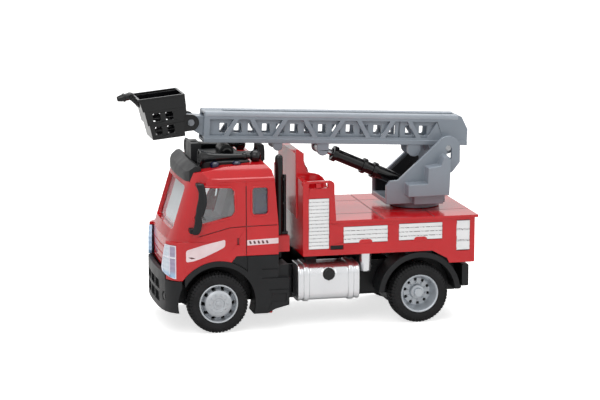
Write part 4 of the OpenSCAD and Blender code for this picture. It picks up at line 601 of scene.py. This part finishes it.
# Headlamp: a slab that follows the cab's corner in plan, between an inner edge that leans outwards upwards and the
# side edge. Panes are sunk between a rim, a ridge down the corner and a bar across. The marks say how far a point
# lies in a side pane, in a front pane, and how blue it is.
lampLook = {
    "foot": 37.4, "top": 59.4, "bar": 51.2, "ridge": 37.2, "proud": 0.45, "sunk": 0.6, "deep": 1.9,
    "across": (26, 41.4), "inner": [(37.4, 40.6), (40.8, 27.8), (43.4, 26.5), (59.4, 32.6)],
    "plan": [(26, -34.5), (29.5, -33.9), (33, -33), (35.5, -31.9), (38, -30.6), (40, -29), (41.6, -27.2)],
    "rimEase": (0.6, 0.85), "ridgeEase": (0.3, 0.5), "barEase": (0.4, 0.65), "blue": (38.5, 43.5),
    "edge": (0.05, 0.3),
}


def lampGrid(side):
    planY = np.linspace(*lampLook["across"], 200)
    planX = np.interp(planY, *np.transpose(lampLook["plan"]))
    run = np.r_[0, np.cumsum(np.hypot(np.diff(planX), np.diff(planY)))]
    z = np.linspace(lampLook["foot"], lampLook["top"], 90)[:, None]
    inner = np.interp(np.interp(z, *np.transpose(lampLook["inner"])), planY, run)
    along = inner + np.linspace(0, 1, 70)[None] * (run[-1] - inner)
    x, y = np.interp(along, run, planX), np.interp(along, run, planY)
    slope = np.interp(along, run, np.gradient(planX, planY))
    nx, ny = -1 / np.hypot(1, slope), slope / np.hypot(1, slope)
    z = np.broadcast_to(z, x.shape)
    rim = np.minimum.reduce([along - inner, run[-1] - along, z - lampLook["foot"], lampLook["top"] - z])
    ridge = np.interp(lampLook["ridge"], planY, run)
    pane = ease(*lampLook["rimEase"], rim) * ease(*lampLook["ridgeEase"], np.abs(along - ridge))
    pane = pane * ease(*lampLook["barEase"], np.abs(z - lampLook["bar"]))
    out = lampLook["proud"] - lampLook["sunk"] * pane
    blue = 1 - ease(*lampLook["blue"], z)
    edge = 1 - ease(*lampLook["edge"], along - inner)
    marks = np.stack([pane * (along > ridge), pane * (along < ridge), np.maximum(pane * blue, edge)], axis=-1)
    behind = np.broadcast_to([0.0, 0.0, 1.0], marks.shape)
    front = place(x + out * nx, side * (y + out * ny), z)
    back = place(x - lampLook["deep"] * nx, side * (y - lampLook["deep"] * ny), z)
    return {"points": slabGrid(front, back), "marks": slabGrid(marks, behind)}


for hand, side in hands:
    lamp = surfacePiece(hand + "Headlamp", lampGrid(side), sharp=50)
    finishPiece(lamp, "headlight_clear", "truck", "headlight_" + hand)

# Fog lamp: a shallow dome turned about a line along the truck, closed behind
fogLook = {"side": 31.0, "height": 24.4, "radius": 2.75, "dome": 0.9, "back": -32.6, "face": -33.3}
closing, domed = np.linspace(0, 1, 5), np.linspace(1, 0, 14)
x = np.r_[np.full_like(closing, fogLook["back"]), fogLook["face"] - fogLook["dome"] * np.sqrt(1 - domed ** 2)]
across, up = turned(np.r_[closing, domed][:, None] * fogLook["radius"], 48)
fogs = [{"points": place(x[:, None], side * fogLook["side"] + across, fogLook["height"] + up)}
        for hand, side in hands]
finishPiece(surfacePiece("fogLamps", *fogs), "black_gloss", "truck")
print("lamps made")

# Film behind the windscreen, a painted reflection that whitens it: a thin slab on the screen's lean, its corners
# drawn in
sheenFilmLook = {"foot": (-30.7, 65.5), "lean": 17.2, "depth": (5.8, 6.0), "up": (4.2, 32.6), "half": 29.2,
            "drawnIn": 0.05, "square": 12}
u, v = np.linspace(0, 1, 40)[:, None], np.linspace(-1, 1, 60)[None]
(footX, footZ), (upFrom, upTo) = sheenFilmLook["foot"], sheenFilmLook["up"]
up = upFrom + (upTo - upFrom) * u + 0 * v
y = sheenFilmLook["half"] * v * (1 - sheenFilmLook["drawnIn"] * np.abs(2 * u - 1) ** sheenFilmLook["square"])
c, d = math.cos(math.radians(sheenFilmLook["lean"])), math.sin(math.radians(sheenFilmLook["lean"]))
film = [place(footX + k * c + up * d, y, footZ - k * d + up * c) for k in sheenFilmLook["depth"]]
film = surfacePiece("screenFilm", {"points": slabGrid(*film)})
finishPiece(film, "window_clear", "truck", finish="screenFilm").visible_shadow = False

# Tray on the cab roof: a slab between the roof's slope and a level top, its corners drawn in, with a rolled edge
# and shallow grooves along it
trayLook = {"x": (-8.5, 24.5), "half": 29.5, "top": 112.3, "roof": [(-13, 106.6), (5, 109.6), (33, 110.9)],
            "sunk": 0.05, "thin": 0.3, "drawnIn": 0.06, "square": 8, "edge": 0.9, "rolls": (24, 30),
            "groove": {"deep": 0.25, "pitch": 4.2, "half": 0.12, "long": 0.9}}
u, v = np.linspace(-1, 1, 60)[:, None], np.linspace(-1, 1, 80)[None]
x = np.mean(trayLook["x"]) + np.diff(trayLook["x"]) / 2 * u + v * 0
y = trayLook["half"] * v * (1 - trayLook["drawnIn"] * np.abs(u) ** trayLook["square"])
roof = np.interp(x, *np.transpose(trayLook["roof"])) - trayLook["sunk"]
fall = trayLook["edge"] * np.maximum(np.abs(u) ** trayLook["rolls"][0], np.abs(v) ** trayLook["rolls"][1])
groove = trayLook["groove"]
fall = fall + groove["deep"] * (np.abs(u) < groove["long"]) * (
    np.abs((v * trayLook["half"] / groove["pitch"]) % 1 - 0.5) < groove["half"])
tray = slabGrid(place(x, y, np.maximum(trayLook["top"] - fall, roof + trayLook["thin"])), place(x, y, roof))
finishPiece(surfacePiece("roofTray", {"points": tray}), "black_plastic", "truck")

# Siren drum across the rack: a profile turned about a line across the truck, waisted between two flanges
drumLook = {"x": 13.0, "z": 114.4,
            "profile": [(0, -9.4), (2.2, -9.4), (3.3, -9.0), (3.3, -7.7), (2.5, -7.5), (2.5, 7.5), (3.3, 7.7),
                        (3.3, 9.0), (2.2, 9.4), (0, 9.4)]}
r, y = (k[:, None] for k in alongLine(drumLook["profile"], 80))
fore, up = turned(r, 64)
drum = {"points": place(drumLook["x"] + fore, y, drumLook["z"] + up)}
finishPiece(surfacePiece("sirenDrum", drum), "black_gloss", "truck")


# Post: a rounded square section carried along a line, drawn in at both ends. low and high are its corners.
postSquare = 0.45


def postGrid(low, high, along, soft=0.5, where=place):
    low, high = np.asarray(low, float), np.asarray(high, float)
    middle, half = (low + high) / 2, (high - low) / 2
    t = np.r_[-1, np.linspace(-1, 1, 41), 1][:, None]
    end = np.clip((1 - np.abs(t)) * half[along] / soft, 0, 1)
    shrink = 1 - (1 - np.sqrt(1 - (1 - end) ** 2)) * soft / np.delete(half, along).min()
    shrink[[0, -1]] = 0
    c, d = squareTurn(fullTurn(48), postSquare)
    across = [middle[k] + half[k] * shrink * w for k, w in zip([k for k in range(3) if k != along], (c, d))]
    across.insert(along, middle[along] + half[along] * t)
    return {"points": where(*across)}


# Horn: a profile turned about a line along the truck: hollow bell, long flare, collar, neck and ball, on two posts
hornLook = {"y": 25.0, "z": 114.0, "feet": (7.0, 21.0), "foot": 109.2, "post": (1, 1.2),
            "profile": [(-4.6, 0), (-5.2, 1.4), (-8.3, 4.5), (-8.9, 4.9), (-9.2, 5.4), (-8.9, 5.9), (-8.2, 5.9),
                        (-7.5, 5.5), (-6.4, 4.8), (-3.6, 3.8), (0.6, 3.0), (7, 2.4), (14, 2.05), (19.9, 1.9),
                        (20.4, 2.5), (21.0, 2.7), (21.9, 2.7), (22.4, 2.4), (22.8, 1.9), (24.6, 1.7), (25.3, 2.0),
                        (25.8, 2.9), (26.8, 3.7), (28.3, 4.15), (29.7, 4.1), (31.0, 3.5), (31.9, 2.4), (32.4, 1.2),
                        (32.5, 0)]}
x, r = (k[:, None] for k in alongLine(hornLook["profile"], 160))
across, up = turned(r, 72)
postX, postY = hornLook["post"]
for hand, side in hands:
    y = side * hornLook["y"]
    horn = [{"points": place(x, y + across, hornLook["z"] + up)}]
    horn += [postGrid((f - postX, y - postY, hornLook["foot"]), (f + postX, y + postY, hornLook["z"]), 2)
             for f in hornLook["feet"]]
    finishPiece(surfacePiece(hand + "Horn", *horn), "black_gloss", "truck", "horn_" + hand)

# Mirror: a section between a front and a rear edge carried up from its foot, bulged outwards to a ridge that runs
# down the middle, and drawn in at both ends. Two posts hold it to the cab. Each edge row is height, front and rear.
mirrorLook = {
    "edges": [(67.2, -16.6, -14.2), (68.0, -17.7, -12.9), (69.6, -17.8, -12.1), (71.3, -17.0, -11.6),
              (72.9, -16.3, -11.2), (75.3, -15.9, -11.0), (77.2, -15.7, -11.2), (78.4, -15.6, -11.5),
              (79.0, -15.4, -10.6), (80.3, -15.2, -10.0), (81.9, -15.0, -9.4), (84.4, -14.8, -8.6),
              (86.4, -14.4, -8.1), (88.4, -13.9, -7.8), (91.3, -13.3, -7.8), (94.6, -13.1, -8.4),
              (96.6, -13.6, -8.7), (98.7, -14.6, -9.1), (100.2, -14.8, -9.6), (101.0, -14.2, -10.6)],
    "inner": 45.5, "outer": 48.2, "ridge": 0.8, "endRound": 1.2, "square": 0.55,
    "posts": (((-19.2, 41.0, 67.9), (-15.4, 46.8, 71.3)), ((-14.4, 41.0, 98.2), (-11.0, 46.8, 100.8))),
}
heights, fore, aft = np.array(mirrorLook["edges"]).T
z = np.linspace(heights[0], heights[-1], 140)[:, None]
fore, aft = (np.interp(z, heights, k) for k in (fore, aft))
fromEnd = np.minimum(z - z[0], z[-1] - z)
full = np.sqrt(1 - (1 - np.clip(fromEnd / mirrorLook["endRound"], 0, 1)) ** 2)
c, d = squareTurn(fullTurn(64), mirrorLook["square"])
x = (fore + aft) / 2 + (aft - fore) / 2 * c
depth = (mirrorLook["outer"] - mirrorLook["inner"]) / 2
y = mirrorLook["inner"] + depth + depth * full * d
y = y + mirrorLook["ridge"] * full * (d > 0) * d * np.clip(1 - np.abs(c), 0, 1)
for hand, side in hands:
    skin = place(x, side * y, z)
    middle = place((fore + aft) / 2 + 0 * x, side * (mirrorLook["inner"] + depth), z)
    blade = {"points": np.concatenate([middle[:1], skin, middle[-1:]])}
    posts = [postGrid((x0, min(side * y0, side * y1), z0), (x1, max(side * y0, side * y1), z1), 1)
             for (x0, y0, z0), (x1, y1, z1) in mirrorLook["posts"]]
    mirror = surfacePiece(hand + "Mirror", blade, *posts, sharp=60)
    finishPiece(mirror, slotOf["mirror_" + hand], "truck", "mirror_" + hand)

# red clip under the left step, where the cab snaps on to the chassis
clipLook = {"low": (34.4, -38.6, 10.6), "high": (37.4, -36.4, 17.0), "soft": 0.8}
clip = postGrid(clipLook["low"], clipLook["high"], 2, clipLook["soft"])
finishPiece(surfacePiece("cabClip", clip), "red_plastic", "truck")
print("horns, mirrors and small fittings made")

# joint lines of the deck: shallow strips that lie in its grooves, their dark red a painted shade
deckLook = {"top": 72.33, "foot": 71.9, "across": (111.2, 146.0), "acrossHalf": 0.4, "side": 45.6,
            "along": (-23.0, 23.0), "alongHalf": 0.6, "ends": (77.4, 176.2), "soft": 0.1}
(front, rear), deckSide, foot, top = (deckLook[k] for k in ("ends", "side", "foot", "top"))
half, soft = deckLook["acrossHalf"], deckLook["soft"]
strips = [postGrid((x - half, -deckSide, foot), (x + half, deckSide, top), 1, soft) for x in deckLook["across"]]
half = deckLook["alongHalf"]
strips += [postGrid((front, y - half, foot), (rear, y + half, top), 0, soft) for y in deckLook["along"]]
finishPiece(surfacePiece("deckJoints", *strips), "red_plastic", "truck", finish="jointShade")
print("deck joints made")

ladderLean = math.radians(2.7)  # its head lies lower than its pivot


# millimetres along the ladder, across it and up from its pivot, turned into the model's frame
def ladderPlace(q, y, z):
    pivot = jointPlace["ladder_lift"]
    q, y, z = np.broadcast_arrays(q, y, z)
    x = q * math.cos(ladderLean) + z * math.sin(ladderLean)
    z = z * math.cos(ladderLean) - q * math.sin(ladderLean)
    return np.stack([pivot[0] + x * mm, y * mm, pivot[2] + z * mm], axis=-1)


# Bead along the top of a ladder rail: a full ellipse carried along the rail, drawn in to a point over the last
# millimetre at both ends
railLook = {"from": -166.2, "to": 9.4, "aside": 7.0, "middle": 19.3, "wide": 2.4, "high": 2.1, "full": 0.8}
start, end = railLook["from"], railLook["to"]
q = np.r_[start, np.linspace(start, end, 400), end][:, None]
share = np.sqrt(np.clip(1 - np.clip(1 - np.minimum(q - start, end - q), 0, 1) ** 2, 0, 1))
c, d = squareTurn(fullTurn(48), railLook["full"])
across, up = share * railLook["wide"] * c, share * railLook["high"] * d
rails = [{"points": ladderPlace(q, side * railLook["aside"] + across, railLook["middle"] + up)}
         for hand, side in hands]
# the beads' paler grey is a painted highlight along the rail tops
finishPiece(surfacePiece("ladderRailTops", *rails), "grey_plastic", "ladder", finish="railGrey")

# guide inside the ladder's tail, behind the sliding part: two chords a side, uprights between them and rungs
guideLook = {"from": -31.0, "to": -1.0, "inner": 4.4, "outer": 6.4, "foot": 2.4, "top": 17.2, "chord": 4.2,
             "uprights": (-31.0, -21.4, -11.8, -5.0), "wide": 4.0, "slim": 0.1, "soft": 0.4,
             "rung": {"along": (0.8, 3.2), "up": (1, 3.4), "into": 0.5}}
start, end, foot, top, chord, wide, slim, soft = (
    guideLook[k] for k in ("from", "to", "foot", "top", "chord", "wide", "slim", "soft"))
guide = []
for hand, side in hands:
    y0, y1 = sorted((side * guideLook["inner"], side * guideLook["outer"]))
    guide += [postGrid((start, y0, z), (end, y1, z + chord), 0, soft, ladderPlace) for z in (foot, top - chord)]
    guide += [postGrid((q, y0 + slim, foot), (q + wide, y1 - slim, top), 2, soft, ladderPlace)
              for q in guideLook["uprights"]]
(q0, q1), (z0, z1), into = guideLook["rung"].values()
y = guideLook["inner"] + into
guide += [postGrid((q + q0, -y, foot + z0), (q + q1, y, foot + z1), 1, soft, ladderPlace)
          for q in guideLook["uprights"]]
finishPiece(surfacePiece("ladderGuide", *guide), "grey_plastic", "ladder")
print("ladder rails made")

# Water cannon: a profile turned about the barrel's line: ball at the pin, barrel, flange, cone and open muzzle.
# Its pin is a short rod across.
cannonLook = {"dip": 11.0, "columns": 56,
              "profile": [(-2.6, 0), (-2.5, 0.8), (-1.9, 1.8), (-0.8, 2.45), (0.6, 2.55), (2.6, 2.45), (3.6, 2.45),
                          (3.8, 2.9), (4.9, 2.9), (5.1, 2.5), (6.6, 2.2), (8.4, 1.75), (8.9, 1.5), (9.0, 1.2),
                          (8.9, 0.9), (7.4, 0.85), (7.4, 0)],
              "pin": [(0, -4.3), (0.8, -4.3), (1.0, -4.1), (1.0, 4.1), (0.8, 4.3), (0, 4.3)]}
pinX, pinZ = (jointPlace["cannon_pitch"][0] - axleX) * metre, jointPlace["cannon_pitch"][2] * metre
q, r = (k[:, None] for k in alongLine(cannonLook["profile"], 90))
across, up = turned(r, cannonLook["columns"])
c, d = math.cos(math.radians(cannonLook["dip"])), math.sin(math.radians(cannonLook["dip"]))
barrel = place(pinX - q * c + up * d, across, pinZ - q * d - up * c)
r, y = (np.array(k)[:, None] for k in zip(*cannonLook["pin"]))
fore, up = turned(r, cannonLook["columns"])
cannon = surfacePiece("waterCannon", {"points": barrel}, {"points": place(pinX + fore, y, pinZ + up)})
finishPiece(cannon, "black_gloss", "cannon", "water_cannon")

# The other solids keep their shape. The turntable's bores lie round the ladder's pin, just below it and round the
# ram's pin.
(liftX, _, liftZ), (ramX, _, ramZ) = (jointPlace[j] for j in ("ladder_lift", "ram_swing"))
copyLooks = {
    "body_shell": {"rounding": 0.16}, "ladder_main": {"rounding": 0.3}, "ladder_lugs": {"rounding": 0.3},
    "turntable": {"rounding": 0.45, "bores": [(liftX, liftZ, 4 * mm), (liftX, liftZ - 5 * mm, 3.5 * mm),
                                              (ramX, ramZ, 3 * mm)]},
    "basket_pin": {"finish": "darkSteel"},
}
for node, solid in frame["nodes"].items():
    if node in ("flywheel", "drive_gear", "cab_glazing"):
        solid.data.materials.clear()
        solid.data.materials.append(finishes[slotOf[node]])
        solid.visible_shadow = node != "cab_glazing"  # light reaches the cabin
    elif node not in madeAnew:
        mouldedCopy(node, **copyLooks.get(node, {}))
print("moulded copies made")


def aim(thing, start, target):
    thing.location = Vector(start)
    thing.rotation_euler = (Vector(target) - thing.location).to_track_quat("-Z", "Y").to_euler()


# camera at the photograph's angle, in millimetres from the front axle
cameraLook = {"from": (-268.61, -1450.91, 357.14), "at": (64.776, 0.0, 78.454), "lens": 134.575, "sensor": 36.0,
              "clip": (0.05, 60.0)}
camera = addObject("photoCamera", bpy.data.cameras.new("photoCamera"))
camera.data.lens, camera.data.sensor_width = cameraLook["lens"], cameraLook["sensor"]
camera.data.clip_start, camera.data.clip_end = cameraLook["clip"]
aim(camera, place(*cameraLook["from"]), place(*cameraLook["at"]))
bpy.context.scene.camera = camera

# studio: three broad soft lamps, aimed at the middle of the truck, and a white room
lamps = {
    "keyLamp": {"at": (-0.75, -1.1, 1.25), "size": 1.1, "watts": 9},
    "fillLamp": {"at": (1.2, -0.9, 0.7), "size": 1.2, "watts": 3},
    "topLamp": {"at": (0.1, 0.2, 1.6), "size": 1.3, "watts": 16},
}
lampTarget = (0, 0, 0.07)
for name, lamp in lamps.items():
    light = bpy.data.lights.new(name, "AREA")
    light.energy, light.size = lamp["watts"], lamp["size"]
    aim(addObject(name, light), lamp["at"], lampTarget)

# the room is white where it is seen, mirrored or looked at through a window, and dimmer as a light
roomLook = {"light": 0.35, "seen": 1.0, "white": (1.0, 1.0, 1.0, 1.0)}
world = bpy.data.worlds.new("whiteRoom")
bpy.context.scene.world = world
world.use_nodes = True
room = world.node_tree
rays = addNode(room, "LightPath").outputs
seen = rays["Is Camera Ray"]
for ray in ("Is Glossy Ray", "Is Transmission Ray"):
    seen = addNode(room, "Math", {0: seen, 1: rays[ray]}, operation="MAXIMUM").outputs[0]
level = addNode(room, "MapRange", {"Value": seen, "To Min": roomLook["light"], "To Max": roomLook["seen"]})
feed(room, room.nodes["Background"], {"Color": roomLook["white"], "Strength": level.outputs[0]})

# floor of white studio paper that glows a little to the camera alone
floorLook = {"half": 12.0, "colour": "#f4f4f3", "rough": 0.9, "glow": 0.68}
floorMesh = bpy.data.meshes.new("paleFloor")
h = floorLook["half"]
floorMesh.from_pydata([(-h, -h, 0), (h, -h, 0), (h, h, 0), (-h, h, 0)], [], [(0, 1, 2, 3)])
floor = addObject("paleFloor", floorMesh)
paper, tree, shader = newFinish("paleStudioPaper", {
    "Roughness": floorLook["rough"], "Base Color": linear(floorLook["colour"]), "Emission Color": roomLook["white"]})
rays = addNode(tree, "LightPath").outputs
glow = addNode(tree, "Math", {0: rays["Is Camera Ray"], 1: floorLook["glow"]}, operation="MULTIPLY")
feed(tree, shader, {"Emission Strength": glow.outputs[0]})
floorMesh.materials.append(paper)

bpy.context.scene.view_settings.view_transform = "Standard"
print("studio set")
